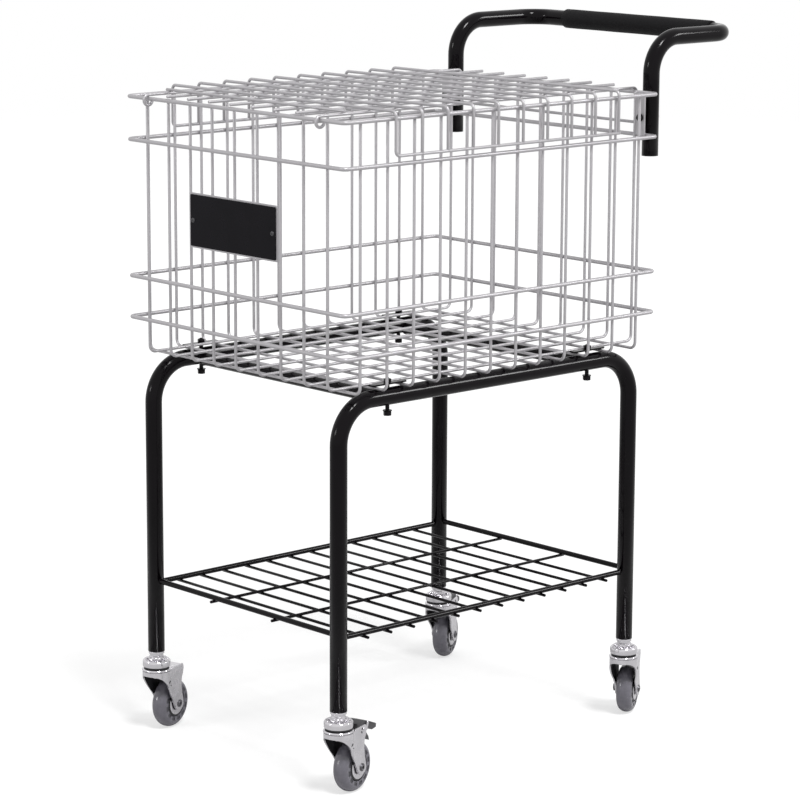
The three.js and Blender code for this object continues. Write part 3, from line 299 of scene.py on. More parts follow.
# Fork: a pressed shell that is a drum in front and two walls behind, seen from above
FORK_HALF_WIDTH = 17.5
FORK_DRUM_RADIUS = 21.5
FORK_DRUM_STEPS = 14
FORK_DRUM_GAP = 7.0  # degrees between the blend and the drum's first point
FORK_WALL = 2.5
FORK_TOP = 96.3
FORK_REAR = 46.0
FORK_ROWS = 16
FORK_MERGE = 0.02
FORK_EDGE = 0.7
FOOT_RADIUS = 11.0
FOOT_STEPS = 16
# Control points of the cubic curve of its front edge, as (x, z), and the halvings that solve it
ARCH_HALVINGS = 40
ARCH = (Vector((-21.7, 90.0)), Vector((-12.0, 89.8)), Vector((3.5, 73.0)), Vector((25.3, 32.3)))
# Plan points between the foot and the drum: x on the straight wall, then (x, y) on the blend
WALL_STATIONS = (24.0, 23.2, 22.2, 21.2, 20.1)
BLEND_STATIONS = (
    (19.0, 17.5), (17.0, 17.55), (14.9, 17.75), (12.8, 18.15), (10.6, 18.75), (8.2, 19.85),
)
EAR_TOP = 98.6
EAR_START = 17.0
EAR_SLOPE = 5.0
# How far back its rear edge lies at each height, as (z, x)
WAIST = ((37.5, 46.0), (46.0, 44.2), (56.0, 41.8), (66.0, 40.6), (76.0, 41.6), (85.0, 45.4),
         (91.0, 47.0), (96.0, 46.4), (99.0, 44.6))
RACE = (
    (5.2, 90.0), (18.9, 90.0), (19.4, 95.4), (19.4, 96.9), (20.9, 96.9), (21.7, 97.2),
    (22.2, 97.8), (22.3, 98.5), (22.0, 99.3), (21.3, 100.0), (20.3, 100.4), (19.4, 100.3),
    (8.0, 99.6), (5.2, 99.6),
)
# Bridge of a fork without a brake: a top sheet of (x, y, corner), a rear one of (y, z, corner)
BRIDGE_SHEET = 2.4
BRIDGE_EDGE = 0.6
BRIDGE_TOP = ((16.0, -15.2, 1.0), (42.5, -15.2, 2.0), (42.5, 15.2, 2.0), (16.0, 15.2, 1.0))
BRIDGE_REAR = ((-15.2, 84.0, 2.0), (15.2, 84.0, 2.0), (15.2, 97.6, 2.5), (-15.2, 97.6, 2.5))
BRIDGE_REAR_X = 42.2
# Bosses of the brake's pin, and rivets, on the outside of each wall
FORK_FACE_Y = 17.4
PIN_BOSS = ((0, 0.9), (1.4, 0.9), (2.0, 0.5), (2.2, 0.0), (0, 0.0))
RIVET = ((0, 0.25), (1.2, 0.25), (1.5, 0.0), (0, 0.0))
RIVET_X = 30.5
RIVET_Z = 85.0
# Stamped slits are (x, z, half length, angle in degrees), each drawn as a dark body that paints the
# shade in the slit
SLITS = ((3.5, 79.0, 3.1, 42.0), (9.5, 72.5, 1.3, 0.0))
BRAKED_SLITS = ((35.6, 94.6, 2.0, 50.0), (34.2, 89.8, 2.0, -75.0))
SLIT_HALF_WIDTH = 0.9

# Wheel: tyre with a crown and moulded pockets in its sides, hub and thread guards
TYRE_HALF_WIDTH = 12.0
TYRE_BEAD = ((21.6, 11.3), (22.2, 12.0), (28.0, 12.0))
CROWN_CENTRE = 27.4
CROWN_HEIGHT = 10.1
CROWN_SWEEP = math.radians(78)
CROWN_STEPS = 20
# Pockets lie between two radii, and take some facets of each pitch round the tyre
POCKET_RING = (22.5, 27.5)
POCKET_PITCH = 6
POCKET_FACETS = 4
POCKET_RIM = 0.5
POCKET_DEPTH = 0.7
POCKET_FLATNESS = 0.05
HUB = (
    (4.3, -11.7), (17.0, -11.7), (20.4, -11.2), (20.9, -10.4), (20.9, 10.4), (20.4, 11.2),
    (17.0, 11.7), (4.3, 11.7),
)
THREAD_GUARD = (
    (4.6, 14.4), (8.4, 14.4), (9.0, 13.9), (9.4, 13.1), (12.0, 12.9), (14.8, 13.25),
    (17.2, 13.0), (18.0, 12.4), (17.9, 11.9), (4.6, 11.9),
)

# Axle: socket screw with six lobes in its head, and a nut with its tip
AXLE = (
    (0, -17.9), (1.9, -17.9), (2.1, -19.3), (2.6, -19.6), (3.6, -19.5), (4.1, -19.0),
    (4.2, -18.2), (4.9, -18.0), (5.3, -18.3), (5.7, -18.3), (6.0, -17.9), (6.0, -17.6),
    (4.0, -17.6), (4.0, 17.8), (0, 17.8),
)
AXLE_LOBES = 6
AXLE_LOBE = ((0, -0.75), (0.5, -0.75), (0.55, 0.8), (0, 0.8))
AXLE_LOBE_REACH = 2.3
AXLE_LOBE_Z = -18.6
AXLE_NUT_RADIUS = 6.5
AXLE_NUT_BOTTOM = 17.85
AXLE_NUT_TOP = 21.6
AXLE_NUT_EDGE = 0.5
AXLE_TIP = ((0, 21.4), (4.0, 21.4), (3.9, 22.1), (3.3, 22.4), (0, 22.4))

# Brake pedal's outline from the side, as (x, z, corner): nose, shoe and tread.
# The shoe's heights count from a circle SHOE_GAP outside the tyre.
SHOE_GAP = 4.2
PEDAL_NOSE = (
    (25.6, 110.6, 1.2), (25.2, 102.4, 1.2), (34.6, 99.6, 1.5), (35.4, 93.0, 2.2),
    (37.6, 89.2, 1.5), (41.0, 86.5, 1.0),
)
PEDAL_SHOE = ((44.0, 0.1, 0.8), (50.0, 0.1, 8.0), (56.0, 0.3, 8.0), (67.6, 4.4, 0.5))
PEDAL_TREAD = (
    (65.6, 74.6, 0.6), (59.6, 82.2, 1.0), (55.4, 87.6, 1.0), (54.0, 93.2, 1.2),
    (62.0, 89.6, 2.0), (76.0, 81.2, 2.5), (91.4, 80.6, 1.0), (92.6, 86.2, 1.2),
    (68.0, 96.2, 3.0), (57.0, 100.4, 3.0),
)
PEDAL_HALF_WIDTH = 8.9
PEDAL_EDGE = 0.6
TAPER_START = 66.0
TAPER_LENGTH = 27.0
TAPER_SHARE = 0.46
TAPER_POWER = 1.6
PIN_X = 40.0
PIN_Z = 93.0
PIN_RADIUS = 2.0
PIN_HALF = 17.3
STRAP_PLACE = (58.2, 0, 94.0)
STRAP_TILT = math.radians(20)
STRAP_LOW = (-9.1, -7.0)
STRAP_HIGH = (9.1, 4.2)
STRAP_CORNER = 1.2
STRAP_LENGTH = 4.8
STRAP_WALL = 1.4
STRAP_EDGE = 0.3

# Colours that no user changes
# Painted shade: the fork's inside is coloured dark to stand in for the shade within the shell
FORK_INSIDE_SHADE_COLOUR = "#2B2A2D"
POCKET_COLOUR = "#3E3D42"
OXIDE_COLOUR = "#6A696D"
FLOOR_COLOUR = "#D6D6D6"

# The middle part of a noise's range, which holds most of its values
NOISE_LOW = 0.3
NOISE_HIGH = 0.7

# Stage, in metres, with the camera of the photograph
FLOOR_RADIUS = 9.0
FLOOR_SOLID = 5.0
FLOOR_LIFT = 0.62
FLOOR_SIDES = 96
SHADOW_SHARE = (0.42, 0.42, 0.42)
WORLD_LIGHT = 0.45
# Suns are (name, direction of the light, strength, angle in degrees)
SUNS = (
    ("key", (0.15, 0.65, -1.05), 2.3, 14.0),
    ("left_fill", (0.917, -0.3, -0.3), 0.45, 10.0),
    ("right_fill", (-0.66, 0.61, -0.415), 0.75, 11.0),
)
CAMERA_PLACE = Vector((-3190.57, -3421.83, 1425.2)) * MM
CAMERA_AZIMUTH = -42.27
CAMERA_PITCH = -11.28
CAMERA_ROLL = 0.239
CAMERA_LENS = 140.97
CAMERA_SENSOR = 36
CAMERA_REACH = 100


def linear(code):
    """Turns an sRGB hex colour into the linear colour that shaders read."""
    parts = [int(code[start:start + 2], 16) / 255 for start in (1, 3, 5)]
    return tuple(
        part / 12.92 if part <= 0.04045 else ((part + 0.055) / 1.055) ** 2.4 for part in parts
    )


def colour_property(name, description, code):
    """A colour that a user can change, given as an sRGB hex value."""
    return bpy.props.FloatVectorProperty(
        name=name, description=description, subtype="COLOR", size=3, min=0, max=1,
        default=linear(code),
    )


def length_property(name, description, default):
    """A length that a user can change, given in millimetres."""
    return bpy.props.FloatProperty(
        name=name, description=description, default=default * MM, min=0, unit="LENGTH",
        precision=5,
    )


class CartSizes(bpy.types.PropertyGroup):
    """Section sizes of the cart's wires, rods and coverings."""

    wire_radius: length_property("Wire radius", "Basket and lid wires", 2.25)
    ring_radius: length_property("Ring radius", "The four rings round the basket", 3.0)
    border_radius: length_property("Shelf border radius", "Rods round the shelf", 4.0)
    rod_radius: length_property("Shelf rod radius", "Rods across the shelf", 2.25)
    tube_wall: length_property("Tube wall", "Wall of the legs and the handle", 1.2)
    grip_radius: length_property("Grip radius", "Outside of the foam sleeve", 15.2)
    weld_radius: length_property("Weld radius", "Weld spots where wires cross", 1.9)
    wire_sides: bpy.props.IntProperty(
        name="Wire sides", description="Facets round each wire", default=12, min=6,
    )
    tube_sides: bpy.props.IntProperty(
        name="Tube sides", description="Facets round each tube", default=40, min=8,
    )


class CartColours(bpy.types.PropertyGroup):
    """Base colours of the cart's finishes."""

    silver: colour_property("Silver coat", "Basket, lid and lugs", "#AFADB0")
    black: colour_property("Black coat", "Legs, shelf and handle", "#0A070A")
    plate: colour_property("Name plate", "The bare plate", "#0A080E")
    chrome: colour_property("Plating", "Caster metal", "#CFCDD1")
    tyre: colour_property("Tyre", "Soft grey tread", "#66646C")
    foam: colour_property("Foam", "Handle sleeve", "#0F0E10")
    pedal: colour_property("Pedal", "Brake pedals", "#3A393C")
    # This colour also paints the shade in the fork's slits
    dark: colour_property("Dark nylon", "Seals and wheel cores", "#17171A")


# Mesh helpers, all in millimetres


def verts_in(geometry):
    """The vertices among the elements that a bmesh operator returns."""
    return [item for item in geometry if isinstance(item, bmesh.types.BMVert)]


def edges_between(verts):
    """The edges that join the given vertices to each other, in a fixed order."""
    inside = set(verts)
    return list(dict.fromkeys(
        edge for vert in verts for edge in vert.link_edges if edge.other_vert(vert) in inside
    ))


def aim(direction):
    """A matrix that turns +Z to the direction."""
    return direction.to_track_quat("Z", "Y").to_matrix().to_4x4()


def facing_left(x, z):
    """Stands a plate drawn in X and Y up on the left end, its thickness out to -X."""
    return Matrix((
        (0, 0, -1, x),
        (-1, 0, 0, 0),
        (0, 1, 0, z),
        (0, 0, 0, 1),
    ))


def facing_right(x):
    """Stands a plate drawn in X and Y up across the cart, its thickness out to +X."""
    return Matrix((
        (0, 0, 1, x),
        (1, 0, 0, 0),
        (0, 1, 0, 0),
        (0, 0, 0, 1),
    ))


def facing_near(y):
    """Stands a plate drawn in X and Y up along the cart, its thickness out to -Y."""
    return Matrix((
        (1, 0, 0, 0),
        (0, 0, -1, y),
        (0, 1, 0, 0),
        (0, 0, 0, 1),
    ))


def quarter_turn(axis, sign=1):
    """A quarter turn about an axis, which lays a turned piece down along another one."""
    return Matrix.Rotation(sign * math.pi / 2, 4, axis)


def polar(radius, angle):
    """The plan point at a radius and an angle."""
    return radius * math.cos(angle), radius * math.sin(angle)


class BentRod:
    """A round rod formed as on a bending machine, from straight runs and arcs."""

    def __init__(self, bm, start, direction, radius, sides):
        self.bm = bm
        self.centre = start.copy()
        self.direction = direction.normalized()
        self.radius = radius
        made = bmesh.ops.create_circle(
            bm, radius=radius, segments=sides,
            matrix=Matrix.Translation(start) @ aim(self.direction),
        )
        self.edges = edges_between(made["verts"])
        self.first = list(self.edges)
        self.first_centre = start.copy()
        self.first_direction = -self.direction

    def run(self, length):
        """Carries the rod straight on."""
        verts = verts_in(bmesh.ops.extrude_edge_only(self.bm, edges=self.edges)["geom"])
        bmesh.ops.translate(self.bm, verts=verts, vec=self.direction * length)
        self.edges = edges_between(verts)
        self.centre += self.direction * length

    def bend(self, pivot, axis, angle, steps):
        """Carries the rod on round an arc."""
        verts = list(dict.fromkeys(vert for edge in self.edges for vert in edge.verts))
        last = bmesh.ops.spin(
            self.bm, geom=verts + self.edges, cent=pivot, axis=axis, angle=angle, steps=steps,
        )["geom_last"]
        self.edges = [item for item in last if isinstance(item, bmesh.types.BMEdge)]
        turn = Matrix.Rotation(angle, 3, axis)
        self.centre = pivot + turn @ (self.centre - pivot)
        self.direction = turn @ self.direction

    def round_end(self, edges, centre, direction):
        """Closes an end with a small rounded edge, as a sheared and coated wire has."""
        for reach, share in SHEARED_END:
            verts = verts_in(bmesh.ops.extrude_edge_only(self.bm, edges=edges)["geom"])
            place = Matrix.Translation(-centre)
            step = direction * self.radius * reach
            bmesh.ops.scale(self.bm, verts=verts, vec=(share, share, share), space=place)
            bmesh.ops.translate(self.bm, verts=verts, vec=step)
            edges = edges_between(verts)
            centre = centre + step
        bmesh.ops.contextual_create(self.bm, geom=edges)

    def close(self):
        """Rounds and closes both ends."""
        self.round_end(self.first, self.first_centre, self.first_direction)
        self.round_end(self.edges, self.centre, self.direction)

    def finish_loop(self):
        """Merges the last section with the first, for a rod welded into a ring."""
        verts = dict.fromkeys(vert for edge in self.edges + self.first for vert in edge.verts)
        bmesh.ops.remove_doubles(self.bm, verts=list(verts), dist=RING_MERGE)


def bent_rod(bm, corners, bends, radius, sides, steps=WIRE_BEND_STEPS, ends="round"):
    """A rod along a route of corners; bends holds the bend radius at each inner corner."""
    points = [Vector(corner) for corner in corners]
    rod = BentRod(bm, points[0], points[1] - points[0], radius, sides)
    for index, bend in enumerate(bends, start=1):
        inward = (points[index] - points[index - 1]).normalized()
        outward = (points[index + 1] - points[index]).normalized()
        turn = inward.angle(outward)
        reach = bend * math.tan(turn / 2)
        rod.run((points[index] - rod.centre).length - reach)
        towards = (outward - inward * inward.dot(outward)).normalized()
        rod.bend(rod.centre + towards * bend, inward.cross(outward).normalized(), turn, steps)
    rod.run((points[-1] - rod.centre).length)
    if ends == "round":
        rod.close()
    elif ends == "ring":
        rod.finish_loop()


def straight_rod(bm, start, stop, radius, sides, ends="round"):
    """A rod without a bend."""
    bent_rod(bm, [start, stop], [], radius, sides, ends=ends)


def weld_spot(bm, place, radius, flat=1.0):
    """A small welded bead, squashed along Z by flat."""
    matrix = Matrix.Translation(place) @ Matrix.Diagonal((1, 1, flat, 1))
    bmesh.ops.create_icosphere(bm, subdivisions=2, radius=radius, matrix=matrix)


def rounded_outline(corners, steps=4):
    """Rounds a closed 2-D outline; each corner is (x, y, radius)."""
    rounded = []
    for index, (x, y, radius) in enumerate(corners):
        here = Vector((x, y))
        before = (Vector(corners[index - 1][:2]) - here).normalized()
        after = (Vector(corners[(index + 1) % len(corners)][:2]) - here).normalized()
        half = before.angle(after) / 2
        reach = radius / math.tan(half)
        middle = here + (before + after).normalized() * (radius / math.sin(half))
        first = here + before * reach - middle
        last = here + after * reach - middle
        sweep = first.angle_signed(last)
        for step in range(steps + 1):
            turned = first.copy()
            turned.rotate(Matrix.Rotation(-sweep * step / steps, 2))
            rounded.append(middle + turned)
    return rounded


def rounded_box(low, high, corner):
    """The outline of a rectangle between two points, with rounded corners."""
    return rounded_outline([
        (low[0], low[1], corner), (high[0], low[1], corner),
        (high[0], high[1], corner), (low[0], high[1], corner),
    ])


def turned_solid(bm, profile, sides, matrix=None):
    """Spins a profile of (radius, height) pairs round Z into a closed solid."""
    verts = [bm.verts.new((radius, 0, height)) for radius, height in profile]
    edges = [bm.edges.new(pair) for pair in zip(verts, verts[1:])]
    if profile[0][0] or profile[-1][0]:
        edges.append(bm.edges.new((verts[-1], verts[0])))
    before = set(bm.verts) - set(verts)
    bmesh.ops.spin(
        bm, geom=verts + edges, cent=(0, 0, 0), axis=Z, angle=math.tau, steps=sides,
        use_merge=True,
    )
    made = [vert for vert in bm.verts if vert not in before]
    bmesh.ops.remove_doubles(bm, verts=made, dist=TURNED_MERGE)
    made = [vert for vert in bm.verts if vert not in before]
    if matrix is not None:
        bmesh.ops.transform(bm, matrix=matrix, verts=made)
    return made


def flat_plate(bm, outline, thickness, matrix, edge):
    """Extrudes a closed outline to a plate, with its two rims rounded."""
    before = set(bm.verts)
    base = bm.faces.new([bm.verts.new((point[0], point[1], 0)) for point in outline])
    lifted = verts_in(bmesh.ops.extrude_face_region(bm, geom=[base])["geom"])
    bmesh.ops.translate(bm, verts=lifted, vec=(0, 0, thickness))
    made = [vert for vert in bm.verts if vert not in before]
    faces = list(dict.fromkeys(face for vert in made for face in vert.link_faces))
    bmesh.ops.recalc_face_normals(bm, faces=faces)
    rims = [
        side
        for side in edges_between(made)
        if len(side.link_faces) == 2 and side.calc_face_angle() > RIM_ANGLE
        and abs(side.verts[0].co.z - side.verts[1].co.z) < thickness / 2
    ]
    bmesh.ops.bevel(
        bm, geom=rims, offset=edge, offset_type="OFFSET", segments=2, profile=0.5,
        affect="EDGES", material=-1,
    )
    made = [vert for vert in bm.verts if vert not in before]
    bmesh.ops.transform(bm, matrix=matrix, verts=made)
    return made


def hex_prism(bm, radius, bottom, top, matrix, edge):
    """A six-sided head or nut with its corners chamfered."""
    corners = [polar(radius, math.tau * side / 6) for side in range(6)]
    place = matrix @ Matrix.Translation((0, 0, bottom))
    flat_plate(bm, corners, top - bottom, place, edge)


def thread(bm, radius, bottom, top, matrix):
    """The showing end of a threaded shank, with a chamfered tip."""
    root = radius - THREAD_DEPTH
    profile = [(0, bottom)]
    height = bottom
    while height < top - THREAD_PITCH:
        profile += [(root, height), (radius, height + THREAD_PITCH / 2)]
        height += THREAD_PITCH
    profile += [(root, height), (root - THREAD_TIP, top), (0, top)]
    turned_solid(bm, profile, THREAD_SIDES, matrix)


def new_piece(
    name, bm, body, finish, replaced=(), placement=None, slot=None, sharp=40, inner=None
):
    """Turns a millimetre mesh into a finished piece that rides on its CAD body.

    The slot is not used: it falls back to the finish's own one and goes no further. Inner is a
    second finish.
    """
    to_metres = Matrix.Scale(MM, 4) @ Matrix.Translation(FRAME_SHIFT)
    if placement is not None:
        to_metres = to_metres @ placement
    bmesh.ops.recalc_face_normals(bm, faces=bm.faces)
    bmesh.ops.transform(bm, matrix=to_metres, verts=bm.verts)
    mesh = bpy.data.meshes.new(name)
    bm.to_mesh(mesh)
    bm.free()
    # The sharp edges come first, because marking them makes every face smooth.
    # Faces of many corners then stay flat: a smooth one would shade across its whole plate
    mesh.set_sharp_from_angle(angle=math.radians(sharp))
    for face in mesh.polygons:
        face.use_smooth = len(face.vertices) < 5
    piece = bpy.data.objects.new(name, mesh)
    bpy.context.scene.collection.objects.link(piece)
    for key in (finish, inner):
        if key:
            mesh.materials.append(finish_of(key))
    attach(piece, body)
    if replaced:
        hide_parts(*replaced)
    slot = slot or FINISHES[finish][1]
    return piece


def add_wall(piece, thickness, offset=-1):
    """Gives a tube's or sheet's skin its wall, inwards unless offset is 1."""
    wall = piece.modifiers.new("Wall", "SOLIDIFY")
    wall.thickness = thickness
    wall.offset = offset
    wall.use_even_offset = True
    return wall


def add_edge(piece, width, segments, angle):
    """Rounds the edges sharper than an angle, after the wall."""
    edge = piece.modifiers.new("Edge", "BEVEL")
    edge.width = width * MM
    edge.segments = segments
    edge.limit_method = "ANGLE"
    edge.angle_limit = math.radians(angle)


def evenly(count, pitch):
    """Places at an even pitch on both sides of zero."""
    return [(index - (count - 1) / 2) * pitch for index in range(count)]


# Materials


def add_node(tree, kind, settings=None, inputs=None):
    """Adds a node, sets its properties and sockets, and links sockets given as outputs."""
    node = tree.nodes.new(kind)
    for name, value in (settings or {}).items():
        setattr(node, name, value)
    for name, value in (inputs or {}).items():
        if isinstance(value, bpy.types.NodeSocket):
            tree.links.new(value, node.inputs[name])
        else:
            node.inputs[name].default_value = value
    return node


def per_mm(size):
    """Texture scale at which one feature is about size millimetres in object coordinates."""
    return 1 / (size * MM)


def start_material(name):
    """A new material, its empty node tree and the object coordinates in it."""
    material = bpy.data.materials.new(name)
    material.use_nodes = True
    tree = material.node_tree
    tree.nodes.clear()
    place = add_node(tree, "ShaderNodeTexCoord").outputs["Object"]
    return material, tree, place


def finish_material(tree, sockets):
    """Adds the surface shader with the given sockets and joins it to the output."""
    shader = add_node(tree, "ShaderNodeBsdfPrincipled", inputs=sockets)
    add_node(tree, "ShaderNodeOutputMaterial", inputs={"Surface": shader.outputs["BSDF"]})


def noise(tree, place, size, detail=2.0, roughness=0.5):
    """Noise whose features are about size millimetres across."""
    return add_node(
        tree, "ShaderNodeTexNoise",
        inputs={"Vector": place, "Scale": per_mm(size), "Detail": detail, "Roughness": roughness},
    ).outputs["Fac"]


def spread(tree, value, low, high):
    """Maps the middle of a noise to the range low to high."""
    return add_node(tree, "ShaderNodeMapRange", inputs={
        "Value": value, "From Min": NOISE_LOW, "From Max": NOISE_HIGH, "To Min": low,
        "To Max": high,
    }).outputs["Result"]


def shaded(tree, colour, factor_low, factor_high, value):
    """A colour that varies between two brightness factors with the value."""
    darker = (*[part * factor_low for part in colour], 1)
    lighter = (*[min(part * factor_high, 1) for part in colour], 1)
    # By number, because a mix has sockets of one name: 0 is the factor, 6 and 7 the colours
    return add_node(
        tree, "ShaderNodeMix", {"data_type": "RGBA"},
        {0: spread(tree, value, 0.0, 1.0), 6: darker, 7: lighter},
    ).outputs[2]


def bump(tree, height, depth, strength, below=None):
    """A bump of the given depth in millimetres, over another one if given."""
    inputs = {"Height": height, "Distance": depth * MM, "Strength": strength}
    if below is not None:
        inputs["Normal"] = below
    return add_node(tree, "ShaderNodeBump", inputs=inputs).outputs["Normal"]


def silver_powder_coat():
    """Satin silver powder coat: fine aluminium flake, slight orange peel, handling marks."""
    material, tree, place = start_material("Silver powder coat")
    flake = noise(tree, place, 0.35, detail=3.0)
    peel = noise(tree, place, 1.6)
    handling = noise(tree, place, 45.0, detail=4.0)
    finish_material(tree, {
        "Base Color": shaded(tree, bpy.context.scene.cart_colours.silver, 0.9, 1.1, flake),
        "Metallic": 0.55,
        "Roughness": spread(tree, handling, 0.36, 0.46),
        "Normal": bump(tree, peel, 0.05, 0.35),
    })
    return material


def black_powder_coat():
    """Gloss black powder coat on tube and rod, with orange peel and faint dust."""
    material, tree, place = start_material("Gloss black powder coat")
    peel = noise(tree, place, 2.2)
    dust = noise(tree, place, 30.0, detail=5.0, roughness=0.6)
    finish_material(tree, {
        "Base Color": shaded(tree, bpy.context.scene.cart_colours.black, 0.85, 1.25, dust),
        "Roughness": spread(tree, dust, 0.1, 0.17),
        "IOR": 1.5,
        "Specular IOR Level": 0.12,
        "Normal": bump(tree, peel, 0.03, 0.25),
    })
    return material


def printed_plate():
    """Satin black lacquered sheet of the bare name plate."""
    material, tree, place = start_material("Satin black plate")
    grain = noise(tree, place, 0.8, detail=3.0)
    rubbing = noise(tree, place, 25.0, detail=4.0)
    finish_material(tree, {
        "Base Color": shaded(tree, bpy.context.scene.cart_colours.plate, 0.9, 1.15, rubbing),
        "Roughness": spread(tree, rubbing, 0.2, 0.3),
        "IOR": 1.5,
        "Specular IOR Level": 0.08,
        "Normal": bump(tree, grain, 0.02, 0.25),
    })
    return material


def chrome_plate(name="Chrome plate", low=0.06, high=0.15, waves=0.25):
    """Bright plate on pressed steel, with the slight waves that pressing leaves."""
    material, tree, place = start_material(name)
    pressed = noise(tree, place, 7.0)
    smudge = noise(tree, place, 12.0, detail=4.0)
    finish_material(tree, {
        "Base Color": shaded(tree, bpy.context.scene.cart_colours.chrome, 0.94, 1.03, smudge),
        "Metallic": 1.0,
        "Roughness": spread(tree, smudge, low, high),
        "Normal": bump(tree, pressed, 0.12, waves),
    })
    return material


def painted_shade_inside():
    """Painted shade on the inside of a pressed fork: a dull dark steel colour that stands in for
    the shade there.
    """
    material, tree, place = start_material("Fork inside painted shade")
    streaks = noise(tree, place, 9.0, detail=4.0)
    finish_material(tree, {
        "Base Color": shaded(tree, linear(FORK_INSIDE_SHADE_COLOUR), 0.7, 1.3, streaks),
        "Metallic": 0.6,
        "Roughness": spread(tree, streaks, 0.45, 0.6),
    })
    return material


def foam_rubber():
    """Closed-cell nitrile foam: fine cells under a dull skin."""
    material, tree, place = start_material("Nitrile foam")
    cells = add_node(
        tree, "ShaderNodeTexVoronoi", {"feature": "SMOOTH_F1"},
        {"Vector": place, "Scale": per_mm(0.9), "Smoothness": 0.6},
    ).outputs["Distance"]
    mottle = noise(tree, place, 6.0, detail=4.0)
    skin = bump(tree, mottle, 0.25, 0.3)
    finish_material(tree, {
        "Base Color": shaded(tree, bpy.context.scene.cart_colours.foam, 0.8, 1.3, mottle),
        "Roughness": spread(tree, mottle, 0.78, 0.9),
        "IOR": 1.45,
        "Specular IOR Level": 0.2,
        "Sheen Weight": 0.03,
        "Sheen Roughness": 0.5,
        "Normal": bump(tree, cells, 0.18, 0.45, skin),
    })
    return material


def soft_tyre():
    """Grey thermoplastic rubber tyre, slightly see-through at the surface."""
    material, tree, place = start_material("Grey rubber tyre")
    mould = noise(tree, place, 1.2)
    scuff = noise(tree, place, 9.0, detail=5.0, roughness=0.6)
    finish_material(tree, {
        "Base Color": shaded(tree, bpy.context.scene.cart_colours.tyre, 0.88, 1.1, scuff),
        "Roughness": spread(tree, scuff, 0.16, 0.28),
        "IOR": 1.5,
        "Subsurface Weight": 0.12,
        "Subsurface Radius": (2.5 * MM, 2.3 * MM, 2.2 * MM),
        "Subsurface Scale": 1.0,
        "Normal": bump(tree, mould, 0.03, 0.3),
    })
    return material


def pocket_shade():
    """The tyre's rubber in the shade of a moulded pocket."""
    material, tree, place = start_material("Shaded rubber pocket")
    grain = noise(tree, place, 2.0, detail=3.0)
    finish_material(tree, {
        "Base Color": shaded(tree, linear(POCKET_COLOUR), 0.85, 1.15, grain),
        "Roughness": spread(tree, grain, 0.4, 0.55),
        "IOR": 1.5,
    })
    return material


def dark_nylon():
    """Moulded black nylon and rubber of the seals and wheel cores; on the fork's slits the same
    colour is painted shade.
    """
    material, tree, place = start_material("Black nylon")
    grain = noise(tree, place, 0.6, detail=3.0)
    wear = noise(tree, place, 10.0, detail=3.0)
    finish_material(tree, {
        "Base Color": shaded(tree, bpy.context.scene.cart_colours.dark, 0.8, 1.3, wear),
        "Roughness": spread(tree, wear, 0.42, 0.6),
        "IOR": 1.5,
        "Normal": bump(tree, grain, 0.04, 0.3),
    })
    return material


def pedal_coat():
    """Dark grey e-coated pressing, rubbed a little lighter where feet press it."""
    material, tree, place = start_material("Dark grey coated steel")
    grain = noise(tree, place, 1.0)
    rubbed = noise(tree, place, 8.0, detail=5.0, roughness=0.65)
    finish_material(tree, {
        "Base Color": shaded(tree, bpy.context.scene.cart_colours.pedal, 0.8, 1.2, rubbed),
        "Metallic": 0.1,
        "Roughness": spread(tree, rubbed, 0.34, 0.5),
        "IOR": 1.5,
        "Normal": bump(tree, grain, 0.05, 0.3),
    })
    return material


def black_oxide():
    """Dark oxide finish of a socket screw, with its oily mottling."""
    material, tree, place = start_material("Black oxide steel")
    mottle = noise(tree, place, 3.0, detail=4.0)
    grain = noise(tree, place, 0.5)
    finish_material(tree, {
        "Base Color": shaded(tree, linear(OXIDE_COLOUR), 0.75, 1.2, mottle),
        "Metallic": 1.0,
        "Roughness": spread(tree, mottle, 0.24, 0.38),
        "Normal": bump(tree, grain, 0.02, 0.3),
    })
    return material


def satin_plate():
    """Duller plate of the pressed sheets, which keeps soft reflections."""
    return chrome_plate("Satin plated steel", low=0.2, high=0.32, waves=0.3)


# Each finish has the function that makes it and the slot of the CAD pieces that carry it
FINISHES = {
    "silver": (silver_powder_coat, "silver_paint"),
    "black": (black_powder_coat, "black_paint"),
    "plate": (printed_plate, "black_plate"),
    "chrome": (chrome_plate, "chrome"),
    "satin": (satin_plate, "chrome"),
    # Painted shade for the fork's inside
    "inside": (painted_shade_inside, None),
    "foam": (foam_rubber, "foam"),
    "tyre": (soft_tyre, "tyre"),
    "pocket": (pocket_shade, None),
    "dark": (dark_nylon, None),
    "pedal": (pedal_coat, "pedal"),
    "bolt": (black_oxide, "chrome"),
}
MADE_MATERIALS = {}


def finish_of(key):
    """The material of that finish, made the first time that it is asked for."""
    if key not in MADE_MATERIALS:
        MADE_MATERIALS[key] = FINISHES[key][0]()
    return MADE_MATERIALS[key]


# Basket and lid


